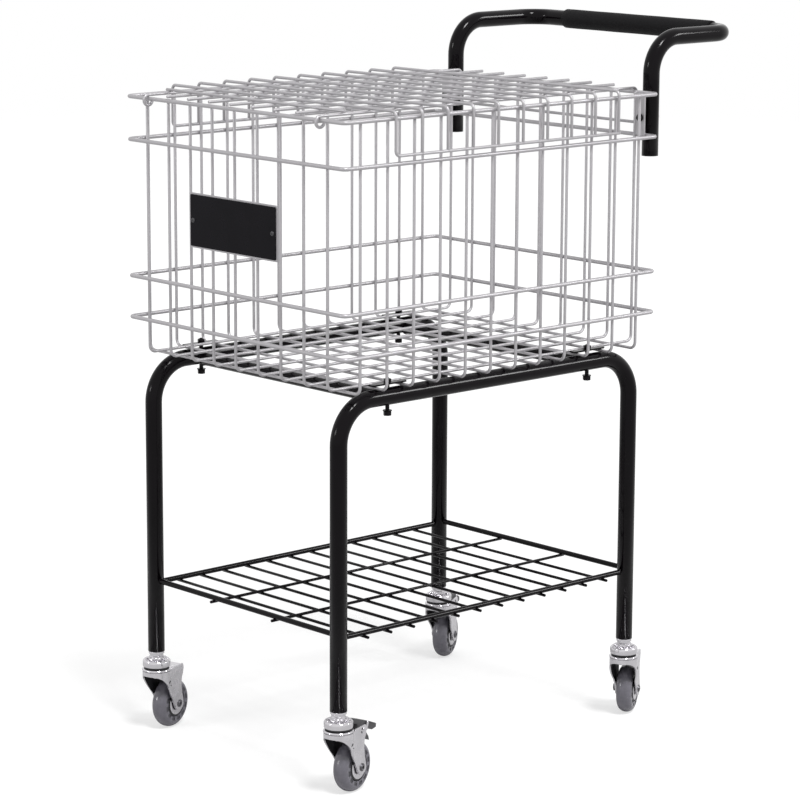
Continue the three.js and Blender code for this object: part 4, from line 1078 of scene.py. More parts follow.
def build_basket(sizes):
    """The cage: cross and long wires bent to a U, four rings, and welds where they cross."""
    wire = sizes.wire_radius / MM
    ring = sizes.ring_radius / MM
    spot = sizes.weld_radius / MM
    sides = sizes.wire_sides
    half_length = BASKET_HALF_LENGTH
    half_width = BASKET_HALF_WIDTH
    cross_x = evenly(CROSS_WIRES, WIRE_PITCH)
    long_y = evenly(LONG_WIRES, WIRE_PITCH)
    bm = bmesh.new()
    for x in cross_x:
        bent_rod(bm, [
            (x, -half_width, RIM_Z), (x, -half_width, CROSS_FLOOR_Z),
            (x, half_width, CROSS_FLOOR_Z), (x, half_width, RIM_Z),
        ], [FLOOR_BEND] * 2, wire, sides)
    for y in long_y:
        bent_rod(bm, [
            (-half_length, y, RIM_Z), (-half_length, y, LONG_FLOOR_Z),
            (half_length, y, LONG_FLOOR_Z), (half_length, y, RIM_Z),
        ], [FLOOR_BEND] * 2, wire, sides)
    for z in RING_HEIGHTS:
        bent_rod(bm, [
            (0, -RING_HALF_WIDTH, z), (RING_HALF_LENGTH, -RING_HALF_WIDTH, z),
            (RING_HALF_LENGTH, RING_HALF_WIDTH, z), (-RING_HALF_LENGTH, RING_HALF_WIDTH, z),
            (-RING_HALF_LENGTH, -RING_HALF_WIDTH, z), (0, -RING_HALF_WIDTH, z),
        ], [RING_CORNER] * 4, ring, sides + RING_EXTRA_SIDES, ends="ring")
        for side in BOTH:
            for x in cross_x:
                weld_spot(bm, (x, side * (half_width + wire - BASKET_WELD_SINK), z), spot)
            for y in long_y:
                weld_spot(bm, (side * (half_length + wire - BASKET_WELD_SINK), y, z), spot)
    for x in cross_x:
        for y in long_y:
            weld_spot(bm, (x, y, CROSS_FLOOR_Z + wire - BASKET_WELD_SINK), spot)
    new_piece("basket_cage", bm, "cart", "silver", [
        "basket_floor", "basket_side_near", "basket_side_far", "basket_end_left",
        "basket_end_right",
    ])


def build_lid(sizes):
    """The lid: end wire with its hinge loops and bail, long wires, cross wires and skirts."""
    wire = sizes.wire_radius / MM
    spot = sizes.weld_radius / MM
    sides = sizes.wire_sides
    bm = bmesh.new()
    pivot = Vector((HINGE_X, -LID_END_Y, HINGE_Z))
    end_wire = BentRod(bm, pivot + X * HINGE_RADIUS, -Z, wire, sides)
    end_wire.bend(pivot, Y, HINGE_SWEEP, HINGE_STEPS)
    corners = [
        Vector((HINGE_X, -LID_END_Y, LID_END_Z)), Vector((BAIL_X, -LID_END_Y, LID_END_Z)),
        Vector((BAIL_X, -LID_END_Y, BAIL_Z)), Vector((BAIL_X, LID_END_Y, BAIL_Z)),
        Vector((BAIL_X, LID_END_Y, LID_END_Z)), Vector((HINGE_X, LID_END_Y, LID_END_Z)),
    ]
    for index in range(1, len(corners) - 1):
        inward = (corners[index] - corners[index - 1]).normalized()
        outward = (corners[index + 1] - corners[index]).normalized()
        end_wire.run((corners[index] - end_wire.centre).length - LID_BEND)
        end_wire.bend(
            end_wire.centre + outward * LID_BEND, inward.cross(outward), math.pi / 2,
            WIRE_BEND_STEPS,
        )
    end_wire.run((corners[-1] - end_wire.centre).length)
    end_wire.bend(Vector((HINGE_X, LID_END_Y, HINGE_Z)), Y, -HINGE_SWEEP, HINGE_STEPS)
    end_wire.close()
    long_y = evenly(LID_LONG_WIRES, LID_LONG_PITCH)
    cross_x = evenly(LID_CROSS_WIRES, LID_CROSS_PITCH)
    for y in long_y[1:-1]:
        straight_rod(
            bm, (LID_LONG_START, y, LID_LONG_Z), (LID_LONG_STOP, y, LID_LONG_Z), wire, sides
        )
    first = cross_x[0]
    last = cross_x[-1] + wire
    bent_rod(bm, [
        (last, -SKIRT_Y, SKIRT_Z), (first, -SKIRT_Y, SKIRT_Z), (first, -SKIRT_Y, LID_CROSS_Z),
        (first, SKIRT_Y, LID_CROSS_Z), (first, SKIRT_Y, SKIRT_Z), (last, SKIRT_Y, SKIRT_Z),
    ], [LID_BEND] * 4, wire, sides)
    for x in cross_x[1:]:
        bent_rod(bm, [
            (x, -SKIRT_Y, SKIRT_Z + SKIRT_WIRE_STOP), (x, -SKIRT_Y, LID_CROSS_Z),
            (x, SKIRT_Y, LID_CROSS_Z), (x, SKIRT_Y, SKIRT_Z + SKIRT_WIRE_STOP),
        ], [LID_BEND] * 2, wire, sides)
        for side in BOTH:
            weld_spot(
                bm, (x, side * SKIRT_Y, SKIRT_Z + wire - WELD_SINK), spot + SKIRT_WELD_EXTRA,
                SKIRT_WELD_FLAT,
            )
    straight_rod(
        bm, (STIFFENER_X, -STIFFENER_HALF, LID_CROSS_Z), (STIFFENER_X, STIFFENER_HALF, LID_CROSS_Z),
        wire, sides,
    )
    for x in cross_x + [STIFFENER_X]:
        for y in long_y:
            weld_spot(bm, (x, y, LID_CROSS_Z - wire + WELD_SINK), spot)
    new_piece(
        "lid_cage", bm, "lid", "silver",
        ["lid_top", "lid_end_wire", "lid_skirt_near", "lid_skirt_far"],
    )


# Name plate


def build_name_plate():
    """The bare plate in front of its backing, and the two screws with their nuts."""
    back = PLATE_FACE_X - PLATE_GAP
    front = back - PLATE_SHEET - PLATE_GAP
    for name, finish, node, border, corner, x, edge in (
        ("plate_backing", "silver", "name_plate_backing", 0, BACKING_CORNER, back, BACKING_EDGE),
        ("plate_face", "plate", "name_plate", PLATE_BORDER, PLATE_CORNER, front, PLATE_EDGE),
    ):
        high = (PLATE_WIDTH / 2 - border, PLATE_HEIGHT / 2 - border)
        outline = rounded_box((-high[0], -high[1]), high, corner)
        bm = bmesh.new()
        flat_plate(bm, outline, PLATE_SHEET, facing_left(x, PLATE_Z), edge)
        new_piece(name, bm, "cart", finish, [node])
    for name, side in SIDES:
        aside = Matrix.Translation((-side * SCREW_HALF_SPAN, 0, 0))
        bm = bmesh.new()
        turned_solid(bm, PLATE_SCREW, NUT_SIDES, facing_left(front - PLATE_SHEET, PLATE_Z) @ aside)
        hex_prism(
            bm, PLATE_NUT_RADIUS, -PLATE_NUT_HEIGHT, 0, facing_left(PLATE_FACE_X, PLATE_Z) @ aside,
            PLATE_NUT_EDGE,
        )
        new_piece(f"plate_screw_{name}", bm, "cart", "pedal", slot="black_plate")


# Handle


def build_handle(sizes):
    """The bent tube, open at its two feet, and the lugs that hold it."""
    bm = bmesh.new()
    bent_rod(bm, [
        (HANDLE_X, -HANDLE_Y, HANDLE_FOOT_Z), (HANDLE_X, -HANDLE_Y, HANDLE_TOP_Z),
        (HANDLE_BAR_X, -HANDLE_Y, HANDLE_TOP_Z), (HANDLE_BAR_X, HANDLE_Y, HANDLE_TOP_Z),
        (HANDLE_X, HANDLE_Y, HANDLE_TOP_Z), (HANDLE_X, HANDLE_Y, HANDLE_FOOT_Z),
    ], [HANDLE_LOWER_BEND, HANDLE_CORNER_BEND, HANDLE_CORNER_BEND, HANDLE_LOWER_BEND],
        TUBE_RADIUS, sizes.tube_sides, steps=TUBE_BEND_STEPS, ends="open")
    piece = new_piece("handle_bar", bm, "cart", "black", ["handle_tube"])
    add_wall(piece, sizes.tube_wall)
    for name, side in SIDES:
        build_lug(name, side)


def build_lug(name, side):
    """The plate welded inside the rings, with the bolt through the handle's arm."""
    low, high = sorted((side * LUG_INNER_Y, side * (LUG_INNER_Y + LUG_WIDTH)))
    outline = rounded_box((low, LUG_BOTTOM_Z), (high, RIM_Z), LUG_CORNER)
    bm = bmesh.new()
    flat_plate(bm, outline, LUG_THICKNESS, facing_right(LUG_X), LUG_EDGE)
    for z in (RIM_Z - LUG_WELD_RADIUS, LUG_BOTTOM_Z + LUG_WELD_RADIUS):
        for share in LUG_WELD_SHARES:
            y = low + (high - low) * share
            weld_spot(bm, (LUG_X + LUG_THICKNESS + LUG_WELD_LIFT, y, z), LUG_WELD_RADIUS)
    new_piece(f"lug_{name}", bm, "cart", "silver", [f"handle_plate_{name}"])
    along = Matrix.Translation((0, side * HANDLE_Y, HANDLE_BOLT_Z)) @ quarter_turn("Y")
    bm = bmesh.new()
    turned_solid(bm, HANDLE_BOLT, BOLT_SIDES, along)
    new_piece(f"lug_bolt_{name}", bm, "cart", "black", [f"handle_bolt_{name}"])
    bm = bmesh.new()
    turned_solid(bm, HANDLE_NUT, NUT_SIDES, along)
    new_piece(f"lug_nut_{name}", bm, "cart", "black", [f"handle_nut_{name}"])


def build_grip(sizes):
    """The foam sleeve: slightly barrelled, with soft ends and a bore on the bar."""
    radius = sizes.grip_radius / MM
    length = GRIP_STOP - GRIP_START
    bore = TUBE_RADIUS + GRIP_FIT
    end = [(bore, 0), (bore + GRIP_LIP, 0)]
    end += [(radius - inside, height) for inside, height in GRIP_ROUNDING]
    profile = list(end)
    for step in range(1, GRIP_STEPS):
        share = step / GRIP_STEPS
        swell = GRIP_SWELL * math.sin(math.tau * share * GRIP_WAVES)
        height = GRIP_END + (length - 2 * GRIP_END) * share
        profile.append((radius - GRIP_SWELL + swell, height))
    profile += [(reach, length - height) for reach, height in reversed(end)]
    along = Matrix.Translation((HANDLE_BAR_X, GRIP_START, HANDLE_TOP_Z)) @ quarter_turn("X", -1)
    bm = bmesh.new()
    turned_solid(bm, profile, GRIP_SIDES, along)
    new_piece("grip_sleeve", bm, "cart", "foam", ["handle_grip"])


# Legs, cross tubes, clamps and shelf


def build_legs(sizes):
    """The two bent leg frames, and the two cross tubes welded between them."""
    for name, side in SIDES:
        y = side * LEG_Y
        bm = bmesh.new()
        bent_rod(bm, [
            (-LEG_X, y, LEG_FOOT_Z), (-LEG_X, y, LEG_TOP_Z), (LEG_X, y, LEG_TOP_Z),
            (LEG_X, y, LEG_FOOT_Z),
        ], [LEG_BEND] * 2, TUBE_RADIUS, sizes.tube_sides, steps=TUBE_BEND_STEPS, ends="open")
        piece = new_piece(f"leg_bend_{name}", bm, "cart", "black", [f"leg_frame_{name}"])
        add_wall(piece, sizes.tube_wall)
    for name, side in ENDS:
        x = side * CROSS_TUBE_X
        bm = bmesh.new()
        straight_rod(
            bm, (x, -CROSS_TUBE_HALF, CROSS_TUBE_Z), (x, CROSS_TUBE_HALF, CROSS_TUBE_Z),
            CROSS_TUBE_RADIUS, sizes.tube_sides, ends="open",
        )
        for end in BOTH:
            place = (x, end * (CROSS_TUBE_HALF - CROSS_TUBE_BEAD_INSET), CROSS_TUBE_Z)
            collar = Matrix.Translation(place) @ quarter_turn("X")
            weld_collar(bm, CROSS_TUBE_RADIUS, CROSS_TUBE_BEAD, collar)
        new_piece(f"cross_bar_{name}", bm, "cart", "black", [f"cross_tube_{name}"])


def weld_collar(bm, radius, bead, matrix, ripples=BEAD_RIPPLES):
    """A rippled weld bead round a tube's end."""
    root = radius - BEAD_ROOT
    hump = [(radius + bead * out, bead * along) for out, along in BEAD_SECTION]
    made = turned_solid(bm, [(root, -bead), *hump, (root, bead)], BEAD_SIDES)
    for vert in made:
        swell = 1 + BEAD_RIPPLE * math.cos(math.atan2(vert.co.y, vert.co.x) * ripples)
        vert.co.x *= swell
        vert.co.y *= swell
    bmesh.ops.transform(bm, matrix=matrix, verts=made)


def build_clamps():
    """Four clamps: a screw up through the cross tube, a bar over the wires and a nut."""
    for name, x_side, y_side, _, _ in CASTERS:
        place = Matrix.Translation((x_side * CLAMP_X, y_side * LEG_Y, 0))
        bm = bmesh.new()
        hex_prism(
            bm, CLAMP_HEAD_RADIUS, CLAMP_HEAD_BOTTOM, CLAMP_HEAD_TOP, place, CLAMP_HEAD_EDGE
        )
        turned_solid(bm, CLAMP_SHANK, BOLT_SIDES, place)
        thread(bm, CLAMP_SHANK_RADIUS, CLAMP_THREAD_BOTTOM, CLAMP_THREAD_TOP, place)
        new_piece(f"clamp_screw_{name}", bm, "cart", "black", [f"clamp_bolt_{name}"])
        bm = bmesh.new()
        low = tuple(-reach for reach in CLAMP_BAR_HALF)
        outline = rounded_box(low, CLAMP_BAR_HALF, CLAMP_BAR_CORNER)
        above = place @ Matrix.Translation((0, 0, CLAMP_BAR_Z))
        flat_plate(bm, outline, CLAMP_BAR_THICKNESS, above, CLAMP_BAR_EDGE)
        new_piece(f"clamp_bar_{name}", bm, "cart", "black", [f"clamp_plate_{name}"])
        bm = bmesh.new()
        hex_prism(bm, CLAMP_NUT_RADIUS, CLAMP_NUT_BOTTOM, CLAMP_NUT_TOP, place, CLAMP_NUT_EDGE)
        new_piece(f"clamp_hex_{name}", bm, "cart", "black", [f"clamp_nut_{name}"])


def build_shelf(sizes):
    """The shelf: four border rods welded to the legs, cross rods below and two long rods."""
    border = sizes.border_radius / MM
    rod = sizes.rod_radius / MM
    spot = sizes.weld_radius / MM
    sides = sizes.wire_sides
    thick_sides = sides + BORDER_EXTRA_SIDES
    bm = bmesh.new()
    for side in BOTH:
        y = side * LEG_Y
        straight_rod(
            bm, (-SHELF_SIDE_HALF, y, SHELF_Z), (SHELF_SIDE_HALF, y, SHELF_Z), border,
            thick_sides, ends="open",
        )
        x = side * LEG_X
        straight_rod(
            bm, (x, -SHELF_END_HALF, SHELF_END_Z), (x, SHELF_END_HALF, SHELF_END_Z), border,
            thick_sides, ends="open",
        )
        for end in BOTH:
            for place, axis in (
                ((side * (SHELF_SIDE_HALF - BORDER_BEAD_INSET), end * LEG_Y, SHELF_Z), "Y"),
                ((side * LEG_X, end * (SHELF_END_HALF - BORDER_BEAD_INSET), SHELF_END_Z), "X"),
            ):
                collar = Matrix.Translation(place) @ quarter_turn(axis)
                weld_collar(bm, border, BORDER_BEAD, collar, BORDER_BEAD_RIPPLES)
    for x in evenly(SHELF_RODS, SHELF_ROD_PITCH):
        straight_rod(
            bm, (x, -SHELF_ROD_HALF, SHELF_ROD_Z), (x, SHELF_ROD_HALF, SHELF_ROD_Z), rod, sides
        )
        for side in BOTH:
            weld_spot(bm, (x, side * LEG_Y, SHELF_ROD_Z + rod), spot + BORDER_WELD_EXTRA)
            weld_spot(bm, (x, side * SHELF_LONG_Y, SHELF_ROD_Z + rod - WELD_SINK), spot)
    for side in BOTH:
        y = side * SHELF_LONG_Y
        straight_rod(
            bm, (-SHELF_LONG_HALF, y, SHELF_LONG_Z), (SHELF_LONG_HALF, y, SHELF_LONG_Z), rod,
            sides,
        )
        for end in BOTH:
            weld_spot(
                bm, (end * LEG_X, y, SHELF_LONG_Z + rod - WELD_SINK), spot + BORDER_WELD_EXTRA
            )
    new_piece("shelf_grid", bm, "cart", "black", ["shelf"])


# Casters


def caster_placement(x_side, y_side, swivel):
    """Puts a caster's own frame under its leg, turned by its swivel angle."""
    spot = Matrix.Translation((x_side * LEG_X, y_side * LEG_Y, 0))
    return spot @ Matrix.Rotation(math.radians(swivel), 4, "Z")


def fluted_ring(bm, radius, depth, flutes, bottom, top, edge, steps=None):
    """A ring with rounded flutes, as on a serrated flange."""
    steps = steps or flutes * 8
    outline = []
    for step in range(steps):
        angle = math.tau * step / steps
        outline.append(polar(radius + depth * math.cos(flutes * angle), angle))
    flat_plate(bm, outline, top - bottom, Matrix.Translation((0, 0, bottom)), edge)


def build_stem(name, placement):
    """Kingpin, pressed cap with its serrated flange, neck and the plug in the leg."""
    bm = bmesh.new()
    turned_solid(bm, CAP, ROUND_SIDES)
    fluted_ring(bm, *CAP_FLANGE)
    fluted_ring(bm, *NECK_COLLAR)
    for index in range(DIMPLES):
        angle = math.tau * (index + 0.5) / DIMPLES
        dimple = Matrix.Translation((*polar(DIMPLE_REACH, angle), DIMPLE_Z))
        turn = Matrix.Rotation(angle, 4, "Z") @ Matrix.Diagonal(DIMPLE_SHAPE)
        bmesh.ops.create_icosphere(bm, subdivisions=3, radius=DIMPLE_RADIUS, matrix=dimple @ turn)
    new_piece(f"caster_cap_{name}", bm, "cart", "chrome", [f"caster_stem_{name}"], placement)
    bm = bmesh.new()
    fluted_ring(bm, *SEAL, steps=SEAL_STEPS)
    new_piece(f"caster_seal_{name}", bm, "cart", "dark", placement=placement)


def arch_height(x):
    """Height of the fork's front edge at x, on the arch's cubic curve."""
    low, high = 0.0, 1.0
    for _ in range(ARCH_HALVINGS):
        share = (low + high) / 2
        rest = 1 - share
        here = (rest ** 3 * ARCH[0] + 3 * rest * rest * share * ARCH[1]
                + 3 * rest * share * share * ARCH[2] + share ** 3 * ARCH[3])
        if here.x < x:
            low = share
        else:
            high = share
    return here.y


def smooth(share):
    """Eases a share between 0 and 1 in and out."""
    return share * share * (3 - 2 * share)


def waist(z):
    """How far back the fork's rear edge lies at a height."""
    for (low_z, low_x), (high_z, high_x) in zip(WAIST, WAIST[1:]):
        if z <= high_z:
            share = smooth(max((z - low_z) / (high_z - low_z), 0))
            return low_x + (high_x - low_x) * share
    return WAIST[-1][1]


def fork_bottom(x):
    """Height of the fork's lower edge at x: the arch, then the round foot at the axle."""
    if x <= ARCH[3].x:
        return arch_height(x)
    reach = max(FOOT_RADIUS ** 2 - (x - WHEEL_X) ** 2, 0)
    return WHEEL_RADIUS - math.sqrt(reach)


def fork_top(x):
    """Height of the fork's upper edge at x, which rises to the ears behind the drum."""
    share = min(max((x - EAR_START) / EAR_SLOPE, 0), 1)
    return FORK_TOP + (EAR_TOP - FORK_TOP) * smooth(share)


def fork_stations():
    """Plan points (x, y) from the rear of one wall, round the drum, to the rear of the other."""
    foot = [
        WHEEL_X + FOOT_RADIUS * math.cos(math.pi * step / FOOT_STEPS)
        for step in range(1, FOOT_STEPS)
    ]
    points = [(x, FORK_HALF_WIDTH) for x in (FORK_REAR, *foot, *WALL_STATIONS)]
    points += BLEND_STATIONS
    last_x, last_y = BLEND_STATIONS[-1]
    start = math.degrees(math.atan2(last_y, last_x)) + FORK_DRUM_GAP
    for step in range(FORK_DRUM_STEPS + 1):
        angle = start + (180 - start) * step / FORK_DRUM_STEPS
        points.append(polar(FORK_DRUM_RADIUS, math.radians(angle)))
    return points + [(x, -y) for x, y in reversed(points[:-1])]


def plan_half_width(x):
    """Half of the fork's outer width at x, seen from above."""
    stations = [station for station in fork_stations() if station[1] > 0]
    for (high_x, high_y), (low_x, low_y) in zip(stations, stations[1:]):
        if low_x <= x <= high_x:
            share = (x - low_x) / max(high_x - low_x, 0.001)
            return low_y + (high_y - low_y) * share
    return FORK_HALF_WIDTH


def build_fork(name, braked, body, placement):
    """The pressed shell, with painted shade on its inside, and the race ring over it."""
    stations = fork_stations()
    bm = bmesh.new()
    bmesh.ops.create_grid(bm, x_segments=len(stations) - 1, y_segments=FORK_ROWS, size=0.5)
    for vert in bm.verts:
        column = round((vert.co.x + 0.5) * (len(stations) - 1))
        share = vert.co.y + 0.5
        x, y = stations[column]
        bottom, top = fork_bottom(x), fork_top(x)
        z = bottom + (top - bottom) * share
        if x > ARCH[3].x:
            pull = (waist(z) - ARCH[3].x) / (FORK_REAR - ARCH[3].x)
            x = ARCH[3].x + (x - ARCH[3].x) * pull
        vert.co = Vector((x, y, z))
    bmesh.ops.remove_doubles(bm, verts=bm.verts, dist=FORK_MERGE)
    shell = new_piece(
        f"fork_shell_{name}", bm, body, "satin", [f"fork_{name}"], placement, sharp=50,
        inner="inside",
    )
    # The wall's inner skin takes the second finish, the painted shade of the fork's inside
    add_wall(shell, FORK_WALL * MM).material_offset = 1
    add_edge(shell, FORK_EDGE, segments=3, angle=60)
    bm = bmesh.new()
    turned_solid(bm, RACE, ROUND_SIDES)
    new_piece(f"fork_race_{name}", bm, body, "chrome", placement=placement)
    build_fork_details(name, braked, body, placement)


def build_fork_details(name, braked, body, placement):
    """The bridge between the walls, the rivets, the brake pin's bosses, and dark bodies that paint
    the shade in stamped slits.
    """
    bm = bmesh.new()
    if not braked:
        above = Matrix.Translation((0, 0, FORK_TOP))
        flat_plate(bm, rounded_outline(BRIDGE_TOP), BRIDGE_SHEET, above, BRIDGE_EDGE)
        behind = facing_right(BRIDGE_REAR_X)
        flat_plate(bm, rounded_outline(BRIDGE_REAR), BRIDGE_SHEET, behind, BRIDGE_EDGE)
    for side in BOTH:
        outward = quarter_turn("X", -side)
        if braked:
            boss = Matrix.Translation((PIN_X, side * FORK_FACE_Y, PIN_Z)) @ outward
            turned_solid(bm, PIN_BOSS, BOSS_SIDES, boss)
        rivet = Matrix.Translation((RIVET_X, side * FORK_FACE_Y, RIVET_Z)) @ outward
        turned_solid(bm, RIVET, PIN_SIDES, rivet)
    new_piece(f"fork_pressing_{name}", bm, body, "satin", placement=placement)
    # Painted shade: each slit is a dark ellipsoid on the wall's face, standing in for the shade in
    # the slit
    bm = bmesh.new()
    for side in BOTH:
        for x, z, length, angle in SLITS + (BRAKED_SLITS if braked else ()):
            place = Matrix.Translation((x, side * plan_half_width(x), z))
            turn = Matrix.Rotation(math.radians(-angle), 4, "Y")
            shape = Matrix.Diagonal((length, SLIT_HALF_WIDTH, SLIT_HALF_WIDTH, 1))
            bmesh.ops.create_uvsphere(
                bm, u_segments=20, v_segments=12, radius=1.0, matrix=place @ turn @ shape,
            )
    new_piece(f"fork_slit_shade_{name}", bm, body, "dark", placement=placement)


def build_wheel(name, body, placement):
    """Tyre with moulded pockets in its sides, wheel core and thread guards."""
    profile = [(radius, -side) for radius, side in TYRE_BEAD]
    for step in range(CROWN_STEPS + 1):
        angle = CROWN_SWEEP * (2 * step / CROWN_STEPS - 1)
        side = TYRE_HALF_WIDTH * math.sin(angle) / math.sin(CROWN_SWEEP)
        profile.append((CROWN_CENTRE + CROWN_HEIGHT * math.cos(angle), side))
    profile += reversed(TYRE_BEAD)
    bm = bmesh.new()
    turned_solid(bm, profile, ROUND_SIDES, AXLE_PLACE)
    bm.normal_update()
    pockets = [face for face in bm.faces if in_pocket(face.calc_center_median())]
    bmesh.ops.inset_region(bm, faces=pockets, thickness=POCKET_RIM, use_even_offset=True)
    for face in pockets:
        face.material_index = 1
    made = bmesh.ops.extrude_face_region(bm, geom=pockets)["geom"]
    bmesh.ops.delete(bm, geom=pockets, context="FACES_ONLY")
    for vert in verts_in(made):
        vert.co.y -= math.copysign(POCKET_DEPTH, vert.co.y)
    new_piece(
        f"tyre_tread_{name}", bm, body, "tyre", [f"tyre_{name}"], placement, inner="pocket"
    )
    bm = bmesh.new()
    turned_solid(bm, HUB, ROUND_SIDES, AXLE_PLACE)
    new_piece(f"wheel_core_{name}", bm, body, "dark", [f"hub_{name}"], placement)
    bm = bmesh.new()
    for side in BOTH:
        flip = Matrix.Diagonal((1, 1, side, 1))
        turned_solid(bm, THREAD_GUARD, ROUND_SIDES, AXLE_PLACE @ flip)
    new_piece(f"thread_guard_{name}", bm, body, "satin", placement=placement)


def in_pocket(middle):
    """Whether a face of the tyre's side with this middle lies where a pocket is moulded."""
    x, z = middle.x - WHEEL_X, middle.z - WHEEL_RADIUS
    if abs(abs(middle.y) - TYRE_HALF_WIDTH) > POCKET_FLATNESS:
        return False
    if not POCKET_RING[0] < math.hypot(x, z) < POCKET_RING[1]:
        return False
    facet = int(math.degrees(math.atan2(z, x)) % 360 // (360 / ROUND_SIDES))
    return facet % POCKET_PITCH < POCKET_FACETS


def build_axle(name, body, placement):
    """The axle's screw with its lobed socket, and the nut on its other end."""
    bm = bmesh.new()
    turned_solid(bm, AXLE, AXLE_SIDES, AXLE_PLACE)
    for index in range(AXLE_LOBES):
        spot = polar(AXLE_LOBE_REACH, math.tau * index / AXLE_LOBES)
        lobe = AXLE_PLACE @ Matrix.Translation((*spot, AXLE_LOBE_Z))
        turned_solid(bm, AXLE_LOBE, LOBE_SIDES, lobe)
    hex_prism(bm, AXLE_NUT_RADIUS, AXLE_NUT_BOTTOM, AXLE_NUT_TOP, AXLE_PLACE, AXLE_NUT_EDGE)
    turned_solid(bm, AXLE_TIP, NUT_SIDES, AXLE_PLACE)
    new_piece(f"axle_pin_{name}", bm, body, "bolt", [f"axle_{name}"], placement)


def over_tyre(x, lift):
    """Height at x of a point lifted over the circle that the shoe follows."""
    reach = WHEEL_RADIUS + SHOE_GAP
    return WHEEL_RADIUS + math.sqrt(reach ** 2 - (x - WHEEL_X) ** 2) + lift


def build_brake(name, body, placement):
    """Pedal tread, nose and shoe of the brake, with the plated strap round it."""
    shoe = [(x, over_tyre(x, lift), corner) for x, lift, corner in PEDAL_SHOE]
    outline = rounded_outline([*PEDAL_NOSE, *shoe, *PEDAL_TREAD], steps=3)
    bm = bmesh.new()
    across = facing_near(PEDAL_HALF_WIDTH)
    for vert in flat_plate(bm, outline, 2 * PEDAL_HALF_WIDTH, across, PEDAL_EDGE):
        if vert.co.x > TAPER_START:
            share = min((vert.co.x - TAPER_START) / TAPER_LENGTH, 1)
            vert.co.y *= 1 - TAPER_SHARE * share ** TAPER_POWER
    pin = Matrix.Translation((PIN_X, 0, PIN_Z)) @ AXLE_TURN
    turned_solid(bm, [
        (0, -PIN_HALF), (PIN_RADIUS, -PIN_HALF), (PIN_RADIUS, PIN_HALF), (0, PIN_HALF),
    ], PIN_SIDES, pin)
    new_piece(f"brake_lever_{name}", bm, body, "pedal", [f"brake_pedal_{name}"], placement)
    bm = bmesh.new()
    tilted = Matrix.Translation(STRAP_PLACE) @ Matrix.Rotation(STRAP_TILT, 4, "Y")
    upright = tilted @ facing_right(0)
    verts = [
        bm.verts.new(upright @ Vector((y, z, 0)))
        for y, z in rounded_box(STRAP_LOW, STRAP_HIGH, STRAP_CORNER)
    ]
    ring = [bm.edges.new((verts[index - 1], verts[index])) for index in range(len(verts))]
    lifted = verts_in(bmesh.ops.extrude_edge_only(bm, edges=ring)["geom"])
    along = upright.to_3x3() @ Vector((0, 0, STRAP_LENGTH))
    bmesh.ops.translate(bm, verts=lifted, vec=along)
    band = new_piece(f"brake_strap_{name}", bm, body, "chrome", [f"brake_band_{name}"], placement)
    add_wall(band, STRAP_WALL * MM, offset=1)
    add_edge(band, STRAP_EDGE, segments=2, angle=50)


# Stage


def white_floor_material():
    """Pale floor that fades out to the white background and keeps the cart's shadow."""
    material, tree, place = start_material("White studio floor")
    path = add_node(tree, "ShaderNodeLightPath")
    bounce = add_node(tree, "ShaderNodeBsdfDiffuse", inputs={"Color": (*linear(FLOOR_COLOUR), 1)})
    dim = add_node(tree, "ShaderNodeBsdfDiffuse", inputs={"Color": (*SHADOW_SHARE, 1)})
    glow = add_node(
        tree, "ShaderNodeEmission", inputs={"Color": (1, 1, 1, 1), "Strength": FLOOR_LIFT}
    )
    seen = add_node(tree, "ShaderNodeAddShader", inputs={
        0: dim.outputs["BSDF"], 1: glow.outputs["Emission"],
    })
    surface = add_node(tree, "ShaderNodeMixShader", inputs={
        0: path.outputs["Is Camera Ray"], 1: bounce.outputs["BSDF"], 2: seen.outputs["Shader"],
    })
    clear = add_node(tree, "ShaderNodeBsdfTransparent")
    distance = add_node(
        tree, "ShaderNodeVectorMath", {"operation": "LENGTH"}, {0: place}
    ).outputs["Value"]
    fade = add_node(tree, "ShaderNodeMapRange", {"interpolation_type": "SMOOTHSTEP"}, {
        "Value": distance, "From Min": FLOOR_SOLID, "From Max": FLOOR_RADIUS,
    }).outputs["Result"]
    mixed = add_node(tree, "ShaderNodeMixShader", inputs={
        0: fade, 1: surface.outputs["Shader"], 2: clear.outputs["BSDF"],
    })
    add_node(tree, "ShaderNodeOutputMaterial", inputs={"Surface": mixed.outputs["Shader"]})
    return material


def build_floor():
    """The round studio floor."""
    bm = bmesh.new()
    bmesh.ops.create_circle(bm, cap_ends=True, radius=FLOOR_RADIUS, segments=FLOOR_SIDES)
    mesh = bpy.data.meshes.new("studio_floor")
    bm.to_mesh(mesh)
    bm.free()
    floor = bpy.data.objects.new("studio_floor", mesh)
    bpy.context.scene.collection.objects.link(floor)
    mesh.materials.append(white_floor_material())


def build_world():
    """Even soft light, with a white background for camera, glossy and transmission rays."""
    world = bpy.data.worlds.new("White studio")
    bpy.context.scene.world = world
    world.use_nodes = True
    tree = world.node_tree
    tree.nodes.clear()
    path = add_node(tree, "ShaderNodeLightPath")
    shown = path.outputs["Is Camera Ray"]
    for ray in ("Is Glossy Ray", "Is Transmission Ray"):
        shown = add_node(
            tree, "ShaderNodeMath", {"operation": "MAXIMUM"}, {0: shown, 1: path.outputs[ray]}
        ).outputs[0]
    strength = add_node(
        tree, "ShaderNodeMapRange", inputs={"Value": shown, "To Min": WORLD_LIGHT, "To Max": 1.0}
    ).outputs["Result"]
    light = add_node(
        tree, "ShaderNodeBackground", inputs={"Color": (1, 1, 1, 1), "Strength": strength}
    )
    add_node(tree, "ShaderNodeOutputWorld", inputs={"Surface": light.outputs["Background"]})


def build_lamps():
    """Broad suns: a high key from the front, and a fill for each side."""
    for name, direction, energy, angle in SUNS:
        lamp = bpy.data.lights.new(name, "SUN")
        lamp.energy = energy
        lamp.angle = math.radians(angle)
        sun = bpy.data.objects.new(name, lamp)
        bpy.context.scene.collection.objects.link(sun)
        sun.rotation_euler = Vector(direction).to_track_quat("-Z", "Y").to_euler()


